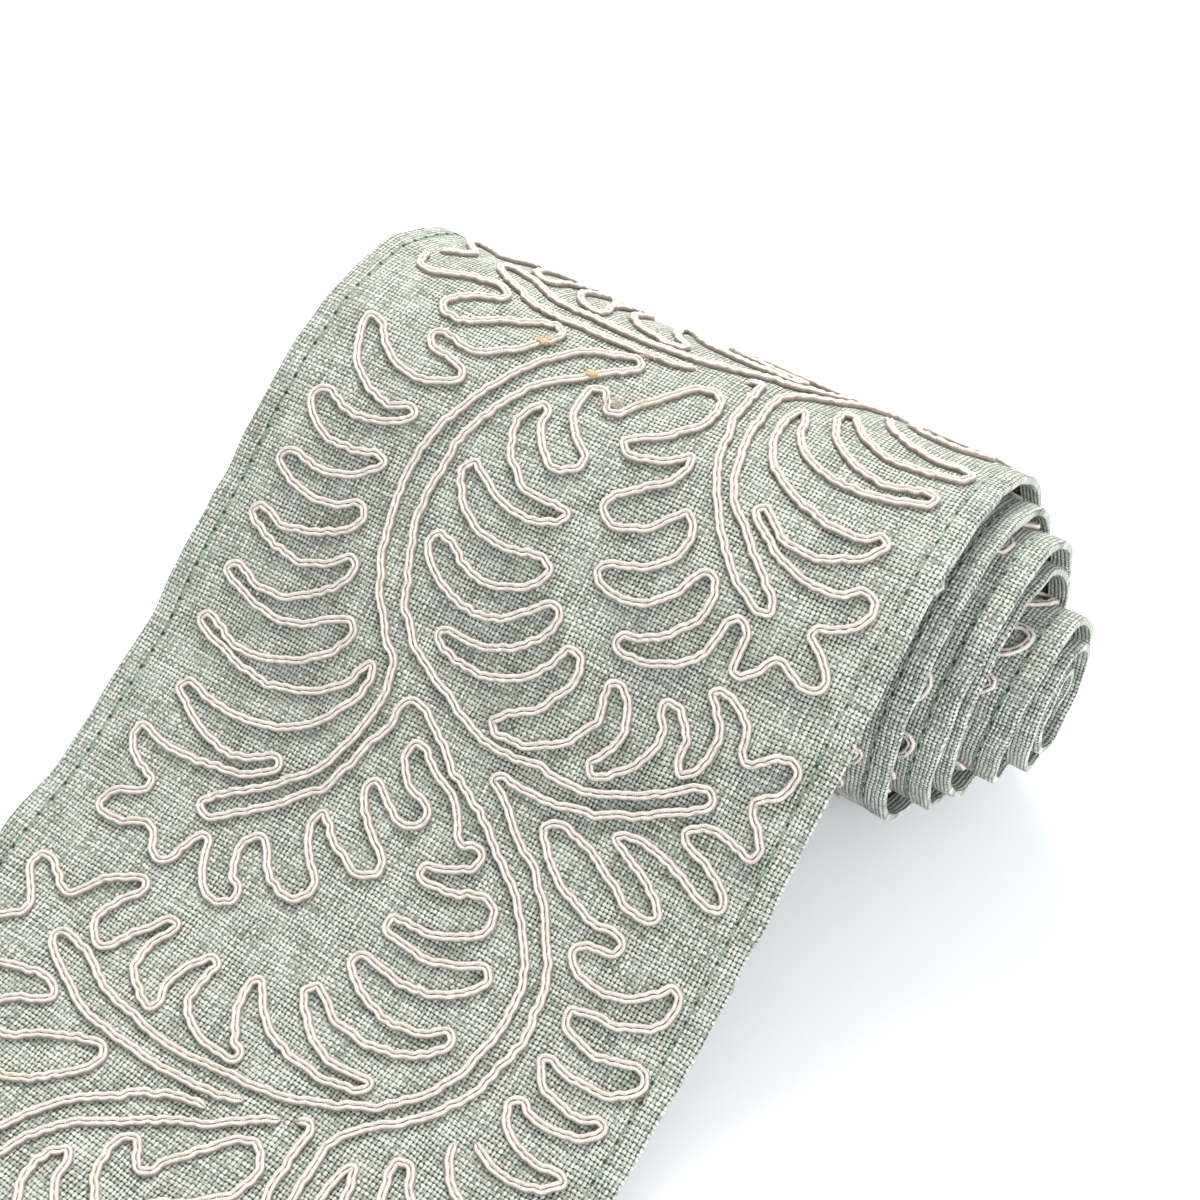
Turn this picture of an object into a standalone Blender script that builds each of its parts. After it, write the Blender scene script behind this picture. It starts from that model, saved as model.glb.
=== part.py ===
"""Embroidered linen table runner, partly wound on its own roll.

The cloth is drawn flat, as across, along and height, and then laid on its path:
flat on the table, up the slope, over the crest and round the spiral of the roll.
X is across the runner, Y is along it with the roll at the far end, and Z is up.
The origin is on the table, in the middle of the front hem.
"""
import math

import bmesh
import bpy
from mathutils import Vector

MM = 0.001

# Cloth
RUNNER_WIDTH = 152 * MM
RUNNER_LENGTH = 1220 * MM
CLOTH_THICKNESS = 0.8 * MM
SIDE_HEM = 4.4 * MM
END_HEM = 10 * MM

# Roll
CORE_RADIUS = 6.5 * MM
TURN_PITCH = 5.3 * MM
SIDE_STEP_PER_TURN = 5.2 * MM
SEGMENTS_PER_TURN = 18

# Open stretch, from the crest of the roll to the front hem
FLAT_RUN = 40 * MM
SLOPE_RUN = 185 * MM
CREST_REACH = 55 * MM
FOOT_REACH = 113 * MM
SLOPE_SAMPLES = 400
SLOPE_STEP = 12 * MM

# Couched cord and threads
CORD_WIDTH = 2.1 * MM
CORD_HEIGHT = 1.0 * MM
THREAD_WIDTH = 0.6 * MM
THREAD_HEIGHT = 0.35 * MM
TACK_DIAMETER = 2.4 * MM
TACK_HEIGHT = 1.0 * MM
TOUCH_GAP = 0.3 * MM
TABLE_GAP = 0.1 * MM

# Embroidered design, as (across, along toward the front). It reaches this many units to either side,
# and is drawn as large as fits between the side hem threads.
DESIGN_REACH = 70
HEM_CLEARANCE = 0.25 * MM
DESIGN_UNIT = (
    RUNNER_WIDTH / 2 - SIDE_HEM - THREAD_WIDTH / 2 - CORD_WIDTH / 2 - HEM_CLEARANCE
) / DESIGN_REACH
REPEAT = 178
STUB_POINTS = 8
OPEN_DETAIL = (13, 8, math.radians(50))
ROLLED_DETAIL = (20, 10, math.radians(80))

VINE = [
    (5.5, 173.0), (0.5, 174.8), (-4.5, 175.4), (-9.5, 176.0), (-15, 176.4), (-22.5, 176.2), (-30, 175.8),
    (-35, 174.8), (-40, 172.4), (-45, 170.2), (-48.5, 168), (-50.3, 166.2), (-49, 164.6), (-45, 164.6),
    (-40, 166), (-36, 168), (-32, 169.8), (-26, 170.6), (-20, 171.6), (-14.5, 172), (-7.5, 171.4),
    (-2.5, 170.6), (5, 169.8), (11, 168.6), (17, 166.4), (22.5, 163.8), (28.5, 160.6), (32.5, 157),
    (36.5, 152), (38.5, 148), (39.5, 143.4), (40.5, 138), (40.5, 132), (39.8, 127.5), (38, 123),
    (35.5, 119.5), (32.5, 115.8), (29.5, 112.5), (25, 109.2), (21, 106.6), (17.5, 103.8), (13.5, 101.3),
    (9.3, 99.2), (5, 97), (1, 93.8), (-4, 90.4), (-8.5, 88.2), (-10.6, 87.6), (-12, 89.4), (-12, 93),
    (-13, 96.8), (-14.5, 100.5), (-15.6, 104.2), (-16.8, 108.4), (-18.5, 112.5), (-22, 116), (-25, 119.5),
    (-29, 123), (-32.7, 125.8), (-36.5, 129), (-39.5, 129.6), (-41, 127.6), (-39.5, 125.4),
    (-34.5, 121.5), (-29.5, 117.8), (-26, 114.2), (-22.4, 110.8), (-20.2, 106.6), (-18.5, 101.4),
    (-17.3, 96.4), (-16.8, 91.4), (-17.3, 86.4), (-18.8, 82.6), (-22.3, 79.4), (-25.2, 75.4), (-28, 71.6),
    (-30.3, 67.2), (-32.2, 63), (-33.4, 58), (-34.6, 53), (-35.3, 48), (-35.2, 43), (-34.3, 37),
    (-33, 32), (-31, 27), (-28.9, 22), (-26.8, 18.2), (-24, 13.2), (-20, 8.8), (-17.5, 5.8), (-13.5, 3.4),
    (-9.5, 1.8), (-6.5, 0.5), (-4.6, 0.4), (-3.6, 2), (-5.2, 4.4), (-9.3, 8), (-12.7, 11.7), (-17.6, 15),
    (-21.3, 18.8), (-23.6, 22.6), (-25.6, 27.2), (-27.7, 32), (-28.7, 37), (-28.6, 42), (-29, 47),
    (-28.8, 52), (-27.7, 56.8), (-26, 61.2), (-24, 65.8), (-22.7, 70), (-19.8, 73.8), (-16, 77.8),
    (-11.8, 80.4), (-6.8, 82.6), (-2.7, 84.4), (1.5, 86.4), (5, 87.8), (9.5, 88.7), (15, 88.7),
    (21, 87.8), (26, 88.4), (31.8, 88), (37, 86.2), (42, 83.8), (46.8, 81.2), (50.2, 78.4), (52.4, 77),
    (54.8, 76.8), (56.5, 78.4), (56, 80), (53.6, 81.3), (50.2, 83.5), (46, 86.2), (41, 88.8),
    (37, 90.6), (32, 92), (27, 93), (21.8, 93.6), (17.7, 93.2), (14, 93.6), (13.4, 94.8), (15.2, 95.8),
    (19, 98), (22, 101), (26, 103.8), (30.2, 106), (33.5, 109.6), (36.8, 113), (39.4, 117.5),
    (42.3, 121.3), (44, 125.8), (44.9, 130.4), (45.8, 135.4), (45.2, 139.8), (44, 144), (43.2, 148.8),
    (40.6, 153), (38.3, 156.6), (34.3, 160.6), (30.2, 164.2), (27, 167.2), (25.3, 170.2), (24.9, 174.4),
    (25.4, 178.8), (26, 186), (27.9, 193), (29.8, 198.4), (32.7, 202.2), (36.4, 205), (39.4, 208),
    (42.7, 210.8), (46, 213.6), (48.9, 216.4), (49.6, 218.6), (47.4, 219.4), (44.3, 217.8), (40.2, 215.6),
    (36.8, 212.4), (33.5, 209), (31, 206), (28.4, 202.2), (26, 198.4), (23.6, 193.4), (22.6, 188.4),
    (21, 183.4), (20.6, 178), (20.4, 173.4), (19.4, 169.6), (16.8, 171),
]

LEFT_FROND = [
    (-65.8, -5.6), (-64.6, -2.8), (-63.4, -0.2), (-60.2, 0.8), (-56, -1.2), (-50.2, -3.2), (-46, -4.2),
    (-42.4, -3.6), (-40.6, -1.6), (-42.6, 0.2), (-45.6, 1.6), (-49.2, 4.4), (-51, 7.2), (-49.8, 9.8),
    (-46.8, 10.4), (-42.6, 9.2), (-38.4, 6.4), (-33.5, 3.8), (-28.5, 1.8), (-25, 1), (-23.2, 2.6),
    (-25.2, 7), (-29.3, 11.2), (-33.4, 14.4), (-36.2, 16), (-41, 15.8), (-45.2, 14.8), (-48.2, 15.4),
    (-47.8, 17.6), (-44.3, 19.4), (-40.2, 20.2), (-36.6, 21), (-35.8, 23.2), (-39.4, 25.8), (-44.3, 27),
    (-49.3, 26.4), (-54.3, 24.2), (-57.6, 21.2), (-60.6, 18.4), (-63.4, 18), (-63.4, 20.8), (-62, 24.8),
    (-60, 28.8), (-55.2, 32.4), (-50.2, 34.6), (-45.2, 34.8), (-42.2, 33.4), (-40, 34.4), (-41.2, 36.4),
    (-45.2, 38.4), (-50.2, 39.8), (-55.2, 39.8), (-59.4, 38.4), (-63.2, 37.2), (-64.8, 39), (-63.6, 42.4),
    (-60.2, 45.4), (-56, 47), (-51, 47.2), (-46, 46.2), (-42.8, 45.6), (-41, 47), (-42.8, 49),
    (-46.8, 51.8), (-51, 53.4), (-55.2, 53.8), (-59.3, 53), (-63.8, 53.2), (-64.8, 55.2), (-61.8, 57.4),
    (-57.6, 59.2), (-51, 59.8), (-46.8, 59), (-44, 57.2), (-41.4, 56.7), (-39.8, 58.6), (-40.8, 61.4),
    (-43.6, 63.8), (-47.8, 65.8), (-52.8, 67.5), (-57.2, 68.2), (-60.8, 66.6), (-64, 66.4), (-64.6, 68.6),
    (-60.2, 71), (-55.2, 72.8), (-49.3, 73.4), (-44.3, 72), (-40.2, 69.2), (-37.6, 67.4), (-35.8, 69.6),
    (-37.2, 73.4), (-41, 77), (-45.2, 80), (-50.2, 82), (-55.2, 82), (-59.3, 80.6), (-63.2, 80),
    (-63.8, 82.2), (-60.2, 83.6), (-56, 85.2), (-50.2, 86.2), (-45.2, 86.2), (-40.2, 84.2), (-35.2, 81),
    (-31, 79.4), (-29.6, 82), (-31.4, 86), (-35.2, 90), (-39.4, 92.6), (-46, 95), (-51, 95.8),
    (-56, 94.8), (-59.5, 93), (-63.4, 92.4), (-64, 94.6), (-60.2, 96), (-54.3, 97.6), (-49.3, 98.8),
    (-42.7, 99.4), (-37.7, 98.4), (-32.6, 96.6), (-28.4, 94), (-25.4, 91), (-24.2, 87.4), (-22.8, 85.4),
    (-21.2, 87.8), (-21.6, 91.4), (-23, 95), (-25.4, 98.8), (-29.4, 103.2), (-34.3, 106), (-39.3, 107.6),
    (-45.2, 108.4), (-50.2, 108.4), (-55.2, 107.4), (-59, 106.8), (-60.2, 108.8), (-56.8, 111),
    (-51.8, 113.8), (-46.8, 115.4), (-41.8, 116), (-37.6, 115), (-34.4, 113.2), (-31.8, 111.4),
    (-30, 113), (-32.3, 116), (-36, 118.2), (-41, 119.4), (-46.8, 120.4), (-51, 121), (-56, 121),
    (-59.4, 120.2), (-63.2, 120), (-63.8, 122.4), (-61.4, 125.2), (-56.8, 127.8), (-53.4, 129),
    (-53.2, 131), (-55.6, 132.2), (-59.4, 134.2), (-61.2, 136.8), (-61, 139), (-58.2, 139.8),
    (-54.2, 139.2), (-50.2, 137.4), (-47, 137.2), (-45, 139), (-44, 141.4), (-41.6, 142.4), (-39.6, 141),
    (-38, 137), (-36.8, 133.4), (-35, 133), (-33.6, 135.6), (-31.8, 139.4), (-29.2, 142.4), (-26, 143.4),
    (-22.6, 142), (-22.2, 139.8), (-25.6, 136.8), (-27.4, 133), (-27, 129), (-25, 127.2), (-22.6, 128.8),
    (-20, 132), (-16.8, 134.6), (-12.7, 135.2), (-9.4, 133.8), (-8.6, 131.4), (-9.6, 129.4),
    (-12.8, 126.6), (-15.6, 123), (-17, 119.2), (-15.8, 117), (-13.4, 118.6), (-9.4, 121.6),
    (-5.2, 123.4), (-1.6, 124.2), (1.6, 122.4), (1, 119.8), (-2.7, 116.8), (-6.8, 113.8), (-9.4, 110.6),
    (-10.5, 108), (-9.2, 106.2), (-7, 106.6), (-4.4, 109), (-1, 110.8), (2.4, 110.8), (4.6, 108.8),
    (4.2, 106.4), (1, 104.8), (-2.2, 103.8), (-4.6, 101.4), (-6, 98.2), (-5.8, 95.8), (-3.8, 95.2),
    (-1.4, 96.6), (2.6, 99.4), (6.4, 100.8), (9.2, 103), (11.4, 106.4), (13.6, 109), (16, 108.4),
    (18, 107.6), (19.4, 109.4), (18.8, 111.8), (16.4, 113.6), (12.6, 115.2), (9.2, 116.4), (9.6, 118.4),
    (13.5, 118.8), (17.7, 118.2), (21.8, 116.4), (25.2, 115.9), (27.7, 117.6), (28, 120.8), (25.8, 123.8),
    (21.8, 125.8), (17.7, 127.4), (13.5, 127.8), (9.2, 128), (9.2, 130.6), (13.5, 131.5), (19.3, 131.9),
    (24.3, 130.8), (28.4, 128.8), (31.4, 127.4), (33.3, 129), (32.5, 131.4), (29.3, 134.6), (25.2, 137),
    (20.2, 138.2), (13.5, 138), (8.2, 137.4), (6.8, 139.4), (9.3, 142), (13.5, 144.2), (18.5, 145.6),
    (24.3, 145.4), (29.2, 143.6), (32.4, 141.4), (34, 143.2), (31.8, 146.4), (27.7, 149.4), (22.7, 151),
    (16.8, 151.6), (11, 150.8), (6.8, 148.6), (3.8, 147), (2.4, 148.8), (4.5, 152), (8, 155.2),
    (12.7, 157.5), (18.5, 158.2), (22.4, 157.2), (24.8, 157.6), (23.8, 159.6), (20.2, 160.9),
    (14.3, 161.6), (7.7, 161.2), (1.8, 159.6), (-2.5, 156.6), (-5.2, 153.4), (-7.2, 151.8), (-8.4, 154.4),
    (-7.8, 157), (-6.4, 160.4), (-3.6, 164.4), (-0.4, 166.4), (-1.2, 167.5), (-6, 167.9), (-11, 167.2),
    (-15, 165), (-17.2, 161.2), (-16.8, 157), (-16.4, 154.4), (-18, 152.8), (-19.8, 154.8),
    (-22.2, 158.8), (-22.8, 163), (-21.4, 166.2), (-22.2, 168), (-25.2, 167.2), (-29.2, 164.6),
    (-31.4, 161.4), (-31.2, 157), (-29.6, 153.8), (-28.8, 151.4), (-30.8, 151), (-34.2, 155.2),
    (-36.4, 158), (-38, 161.2), (-39.6, 163), (-41.8, 162.6), (-43.8, 161), (-44.6, 158.6),
    (-43.8, 154.8), (-42.2, 152), (-39.8, 149.2), (-40.4, 147.2), (-44.2, 148.2), (-48.4, 150.8),
    (-51.4, 155), (-53.4, 157.4), (-55.4, 157.4), (-58.5, 155.2), (-62.2, 153.2), (-64.8, 153.6),
    (-65.2, 156.2), (-62.6, 159.6), (-59.4, 162.8), (-59, 165.2), (-61.2, 167.2), (-64.4, 169.4),
]

RIGHT_FROND = [
    (44.8, -19.6), (45.6, -17), (48.6, -13.2), (54.2, -9.8), (60, -8.4), (66, -8.8), (69, -7.6),
    (67.8, -4.8), (62.7, -3.2), (56.8, -2), (51, -2.6), (46, -5), (42.4, -8.6), (40.2, -11.6),
    (38, -11.2), (38.6, -6.4), (41, -1.8), (45.2, 2), (50.2, 4.4), (55.2, 5.2), (60, 4.4), (63.8, 2.6),
    (66.4, 3.6), (65.4, 5.8), (61.8, 7.2), (56, 8.9), (50.2, 9.5), (44.3, 8.8), (38.5, 6.4), (34.8, 2),
    (33.2, -2.6), (31.6, -5.8), (30.2, -3), (30.2, 2.8), (31.6, 8), (34.4, 12), (39.3, 15.4),
    (45.2, 17.8), (51, 19.2), (56, 19.4), (59.2, 18.6), (61.2, 17), (63.4, 18.6), (62.6, 20.6),
    (59.2, 23.4), (55.2, 25.6), (50.2, 26.8), (45.2, 26.2), (41, 23.8), (37.8, 21.2), (36.4, 22.6),
    (39.4, 25.6), (43.5, 28.4), (48.5, 30.8), (54.3, 31.9), (59.3, 31.7), (61.8, 30), (64.3, 28.8),
    (67.3, 30), (67.2, 33.4), (65.2, 36.6), (61.8, 38.4), (59, 39.2), (59, 41.2), (61.8, 43.4),
    (65, 46.6), (65.8, 49.4), (63.2, 50.8), (59.3, 49.8), (55.4, 48), (53.8, 49), (53, 51.4),
    (50.8, 53.6), (48.2, 54.2), (47.4, 51.4), (47.6, 47.2), (46.2, 44.6), (44, 44.2), (42.6, 46),
    (42.2, 49.6), (41, 53.6), (37.7, 57), (32.7, 59.4), (27.7, 60.4), (24, 59.6), (23.8, 57.2),
    (27.8, 56.2), (31.8, 53.8), (35.2, 50.4), (37.6, 46.4), (37.7, 42.2), (36.2, 39.2), (34.2, 38.2),
    (32.6, 39.8), (31.4, 43), (28.6, 46.8), (25, 49.6), (20.2, 50.6), (15.4, 49.8), (13, 47.8),
    (14, 45.8), (17.8, 44.4), (22.7, 42.4), (26.4, 38.8), (27.7, 34.6), (26.4, 31), (24.4, 29),
    (22.6, 30.8), (20.2, 33.8), (16.8, 36.4), (12.8, 37.8), (9.4, 37.4), (7.4, 35.4), (8.2, 33), (11, 30),
    (14.5, 27.4), (17.8, 24.6), (19.4, 20.6), (18.6, 17.8), (17.2, 19.4), (14.3, 21.2), (10.2, 22.7),
    (6.2, 23), (4, 21.2), (5.4, 19.4), (9.3, 17.4), (12.8, 14.2), (16, 10.6), (17.2, 7), (16.4, 3),
    (14.2, 0.6), (11.6, 0.8), (8.5, 3), (6, 6.4), (3.5, 9.6), (1, 13), (-0.6, 15.8), (-2.6, 16.6),
    (-4.4, 14), (-6.2, 11.8), (-8.4, 12.4), (-9.4, 14.8), (-9.3, 18), (-7.7, 22), (-4.3, 25.4),
    (-1.4, 27.2), (-1, 29.2), (-3.5, 32), (-5.8, 32.8), (-8.6, 31.2), (-11.8, 28.2), (-13.6, 25.4),
    (-14, 22.2), (-15.6, 20.8), (-17.6, 22.2), (-18.8, 25), (-18.7, 28.4), (-17.6, 31.4), (-14.3, 35.4),
    (-10.2, 38.6), (-5.2, 39.6), (-1.4, 39), (1.6, 40), (0.2, 42.4), (-3.6, 43.9), (-9.3, 44.2),
    (-14.3, 42.8), (-19.2, 40.2), (-23, 38.2), (-24.4, 40.4), (-22, 45.2), (-17.8, 49.2), (-12.7, 51.2),
    (-7.7, 51.6), (-2.7, 50.8), (1.2, 50), (3.6, 51.4), (3.6, 54), (0.8, 56.9), (-3.6, 59), (-9.3, 59.8),
    (-14.4, 58.2), (-18.6, 55.6), (-22.4, 54.8), (-23.4, 57.4), (-20.2, 61.6), (-15.2, 64.6),
    (-9.3, 66.2), (-3.5, 66), (0.8, 63.8), (4.4, 60.4), (7, 58), (9.4, 57.7), (10.6, 60), (9.4, 63.8),
    (6, 67.8), (1, 70.8), (-5, 72.2), (-9.4, 71.9), (-12.2, 72.6), (-11.4, 75), (-6.8, 76.4),
    (-2.4, 77.1), (2, 76.7), (6.8, 75), (11, 72), (13.6, 68), (15, 64.6), (17, 64), (18.9, 65.6),
    (19.7, 68.8), (17.8, 73.4), (15.2, 77.8), (11.8, 80.4), (8.6, 82.4), (7.4, 84.4), (9, 85.7), (15, 85.8),
    (19.3, 84.2), (23.5, 81.2), (26, 77.6), (27.6, 73.8), (26.8, 69.8), (26.2, 67.2), (28, 65.8),
    (31, 68.2), (33.2, 72.2), (33.2, 77), (31.6, 80.4), (29.8, 83), (31.2, 84.6), (34, 83.6),
    (36.8, 81.2), (39.3, 77.8), (41, 73.8), (40.4, 69.6), (38.4, 66.8), (38.6, 64.8), (41, 64.8),
    (43.6, 66.8), (46, 70.4), (46.4, 74.4), (47.6, 76.6), (49.8, 75.3), (51.4, 72), (51.7, 68),
    (50.4, 63.8), (47.6, 61), (46, 59.4), (48.4, 58.4), (52.7, 59.8), (56, 63), (57.2, 67), (58.4, 69),
    (60.4, 68.2), (62.7, 65.8), (66, 64.4), (68.7, 65.6), (69, 68), (66.8, 72), (63.8, 74.4), (64, 76.8),
    (66.8, 79.2), (68.8, 82), (68.2, 84.4), (65.8, 84.6), (61.8, 83), (58, 83.2), (54.8, 84.8),
    (53.6, 86.2), (55.6, 87.8), (59.3, 89.2), (62.7, 90.6), (65.4, 92.6), (67.5, 95.2), (65.8, 96.6),
    (62.6, 96.2), (58.5, 94.4), (53.5, 92.6), (48.5, 91.6), (44.3, 91.6), (41.8, 93), (44.3, 94.8),
    (48.5, 96.4), (52.7, 98.8), (56, 101.2), (56.8, 103.4), (54.3, 104.6), (51, 104.2), (46.8, 102),
    (42.7, 99.8), (38.5, 97.8), (33.5, 96.4), (29.4, 96.2), (27.6, 97.8), (29.5, 100.6), (32.8, 103.8),
    (36.8, 106.6), (41.8, 108.4), (46, 109.8), (50.2, 109.4), (53.4, 110.2), (53.2, 112.4), (50.2, 113.7),
    (46.2, 114.4), (45, 116), (46.8, 118.8), (51, 120.3), (56, 120.2), (60.2, 118.6), (63.6, 115.8),
    (66.2, 113), (68, 114.4), (68, 119.4), (64.3, 122.8), (59.3, 124.6), (54.3, 125.2), (50.6, 126.2),
    (51.2, 128.9), (55.2, 130.8), (60.2, 131.2), (64.3, 130.2), (67.7, 129), (70, 130.2), (69.8, 132.8),
    (67.5, 135.4), (62.7, 137), (56.8, 137.1), (53.4, 136.4), (50.8, 136.6), (51.8, 139.4), (55.2, 141.7),
    (60.2, 142.8), (64.2, 142.4), (66.2, 141.3), (68.3, 142.2), (67, 144.5), (63.4, 146.3), (58.5, 147.3),
    (54.3, 146.8), (51.8, 145.4), (49.9, 146.6), (50.8, 149.8), (54.3, 152.5), (60.2, 154), (64.4, 153.4),
    (67, 154), (65.4, 156.2), (61.6, 158.4), (56, 159), (51.4, 157.9), (48.4, 156.4),
]

FRONT_VINE_LEFT = [
    (0.2, 177.8), (-3.6, 178.4), (-7.8, 179.8), (-13, 182.8), (-16.4, 186), (-20.4, 189), (-24.2, 192.6),
    (-26.8, 196.6), (-28.9, 200.4), (-31, 205), (-33, 210), (-34.3, 215), (-35.2, 221), (-35.3, 226),
    (-35, 231), (-35.2, 234.4),
]

FRONT_VINE_RIGHT = [
    (14.2, 172.4), (10.4, 174.6), (6.4, 177.8), (2, 180.9), (-2.6, 182.8), (-6, 184.8), (-9.4, 187.4),
    (-13, 190), (-17.4, 193), (-21.2, 196.8), (-23.6, 200.6), (-25.6, 205.2), (-27.7, 210), (-28.7, 215),
    (-28.6, 220), (-29, 225), (-28.8, 230), (-28, 234.4),
]

TACKS = [(-25.2, 7), (-11, 9.8)]


def clear_scene():
    for old_object in list(bpy.data.objects):
        bpy.data.objects.remove(old_object, do_unlink=True)


def make_material(name, colour, roughness):
    material = bpy.data.materials.new(name)
    material.use_nodes = True
    shader = material.node_tree.nodes["Principled BSDF"]
    shader.inputs["Base Color"].default_value = (*colour, 1)
    shader.inputs["Roughness"].default_value = roughness
    shader.inputs["Metallic"].default_value = 0
    material.diffuse_color = (*colour, 1)
    return material


class ClothPath:
    """Where the face of the cloth lies. Along is 0 at the crest and grows toward the front hem."""

    def __init__(self):
        self.foot_height = 2 * CLOTH_THICKNESS
        self.front_to_crest = SLOPE_RUN + FLAT_RUN - END_HEM / 2
        open_length = SLOPE_RUN + FLAT_RUN
        for _ in range(8):
            rolled_length = RUNNER_LENGTH - open_length
            self.radius = math.sqrt(CORE_RADIUS ** 2 + rolled_length * TURN_PITCH / math.pi)
            lowest_face = self.radius - TURN_PITCH / 2
            self.axis_height = lowest_face + cord_lift(ROLLED_DETAIL, lowest_face) + CORD_HEIGHT + TABLE_GAP
            self.slope = self.slope_points()
            open_length = self.slope[-1][0] + FLAT_RUN
        self.front = open_length
        self.inner = open_length - RUNNER_LENGTH

    def slope_points(self):
        crest = self.axis_height + self.radius
        handles = (
            Vector((0, crest)),
            Vector((-CREST_REACH, crest)),
            Vector((FOOT_REACH - SLOPE_RUN, self.foot_height)),
            Vector((-SLOPE_RUN, self.foot_height)),
        )
        points = [(0.0, handles[0])]
        for step in range(1, SLOPE_SAMPLES + 1):
            t = step / SLOPE_SAMPLES
            weights = ((1 - t) ** 3, 3 * t * (1 - t) ** 2, 3 * t * t * (1 - t), t ** 3)
            place = sum((handle * weight for handle, weight in zip(handles, weights)), Vector((0, 0)))
            points.append((points[-1][0] + (place - points[-1][1]).length, place))
        return points

    def turned(self, along):
        """Angle round the roll, from the crest toward the back."""
        root = math.sqrt(max(self.radius ** 2 + along * TURN_PITCH / math.pi, 0))
        return (self.radius - root) * 2 * math.pi / TURN_PITCH

    def roll_radius(self, along):
        return self.radius - TURN_PITCH * self.turned(along) / (2 * math.pi)

    def on_roll(self, along):
        angle = self.turned(along)
        radius = self.roll_radius(along)
        outward = Vector((0, math.sin(angle), math.cos(angle)))
        side_step = SIDE_STEP_PER_TURN * angle / (2 * math.pi)
        return Vector((side_step, 0, self.axis_height)) + outward * radius, outward

    def on_slope(self, along):
        low, high = 0, len(self.slope) - 1
        while high - low > 1:
            middle = (low + high) // 2
            if self.slope[middle][0] <= along:
                low = middle
            else:
                high = middle
        start, first = self.slope[low]
        end, second = self.slope[high]
        place = first.lerp(second, (along - start) / (end - start))
        before = self.slope[max(low - 1, 0)][1]
        after = self.slope[min(high + 1, len(self.slope) - 1)][1]
        run = (after - before).normalized()
        return Vector((0, place.x, place.y)), Vector((0, run.y, -run.x))

    def place(self, across, along, height):
        if along < 0:
            base, outward = self.on_roll(along)
        elif along < self.slope[-1][0]:
            base, outward = self.on_slope(along)
        else:
            over = along - self.slope[-1][0]
            base, outward = Vector((0, -SLOPE_RUN - over, self.foot_height)), Vector((0, 0, 1))
        return base + outward * height + Vector((across, self.front_to_crest, 0))

    def stations(self):
        """Places along the cloth where it bends, from the front hem to the inner end."""
        found = [self.front, self.front - END_HEM]
        steps = math.ceil(self.slope[-1][0] / SLOPE_STEP)
        found += [self.slope[-1][0] * (steps - step) / steps for step in range(steps + 1)]
        full_angle = self.turned(self.inner)
        hem_start = self.inner + END_HEM
        count = math.ceil(full_angle / (2 * math.pi) * SEGMENTS_PER_TURN)
        for step in range(1, count):
            angle = full_angle * step / count
            along = -(self.radius * angle - TURN_PITCH * angle ** 2 / (4 * math.pi))
            if abs(along - hem_start) > CLOTH_THICKNESS:
                found.append(along)
        found += [hem_start, self.inner]
        return sorted(found, reverse=True)


def lay(mesh_data, path):
    """Move a flat drawing onto the path of the cloth."""
    for vertex in mesh_data.verts:
        vertex.co = path.place(*vertex.co)


def finish_object(name, mesh_data, material):
    bmesh.ops.triangulate(mesh_data, faces=mesh_data.faces)
    mesh_data.normal_update()
    bmesh.ops.recalc_face_normals(mesh_data, faces=mesh_data.faces)
    if mesh_data.calc_volume(signed=True) < 0:
        bmesh.ops.reverse_faces(mesh_data, faces=mesh_data.faces)
    mesh = bpy.data.meshes.new(name)
    mesh_data.to_mesh(mesh)
    mesh_data.free()
    mesh.materials.append(material)
    bpy.context.collection.objects.link(bpy.data.objects.new(name, mesh))


def deepen(mesh_data, faces, depth):
    """Extrude faces downward and return the new lower faces."""
    grown = bmesh.ops.extrude_face_region(mesh_data, geom=faces)["geom"]
    moved = [item for item in grown if isinstance(item, bmesh.types.BMVert)]
    bmesh.ops.translate(mesh_data, verts=moved, vec=(0, 0, -depth))
    return [item for item in grown if isinstance(item, bmesh.types.BMFace)]


def make_cloth(path, material):
    stations = path.stations()
    columns = (-RUNNER_WIDTH / 2, SIDE_HEM - RUNNER_WIDTH / 2, RUNNER_WIDTH / 2 - SIDE_HEM, RUNNER_WIDTH / 2)
    mesh_data = bmesh.new()
    bmesh.ops.create_grid(mesh_data, x_segments=len(columns) - 1, y_segments=len(stations) - 1, size=1)
    for vertex in mesh_data.verts:
        column = round((vertex.co.x + 1) / 2 * (len(columns) - 1))
        row = round((vertex.co.y + 1) / 2 * (len(stations) - 1))
        vertex.co = (columns[column], stations[row], 0)
    lower = deepen(mesh_data, mesh_data.faces[:], CLOTH_THICKNESS)
    hem_faces = []
    for face in lower:
        centre = face.calc_center_median()
        in_side = abs(centre.x) > RUNNER_WIDTH / 2 - SIDE_HEM
        in_end = centre.y > path.front - END_HEM or centre.y < path.inner + END_HEM
        if in_side or in_end:
            hem_faces.append(face)
    deepen_hems(mesh_data, hem_faces)
    lay(mesh_data, path)
    finish_object("linen_cloth", mesh_data, material)


def deepen_hems(mesh_data, faces):
    """The turned-under edge doubles the cloth along all four sides."""
    deepen(mesh_data, faces, CLOTH_THICKNESS)
    bmesh.ops.delete(mesh_data, geom=[face for face in faces if face.is_valid], context="FACES_ONLY")


def turn_at(before, here, after):
    first = Vector(here) - Vector(before)
    second = Vector(after) - Vector(here)
    return first.angle(second, 0)


def thin(route, most_reach, most_climb, most_turn):
    """Keep a point before the cord runs too far, climbs too far along the runner or turns too much."""
    kept = [route[0]]
    turned = 0
    for before, here, after in zip(route, route[1:], route[2:]):
        turned += turn_at(before, here, after)
        reach = Vector(after) - Vector(kept[-1])
        if turned > most_turn or reach.length > most_reach or abs(reach.y) > most_climb:
            kept.append(here)
            turned = 0
    return kept + [route[-1]]


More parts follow.
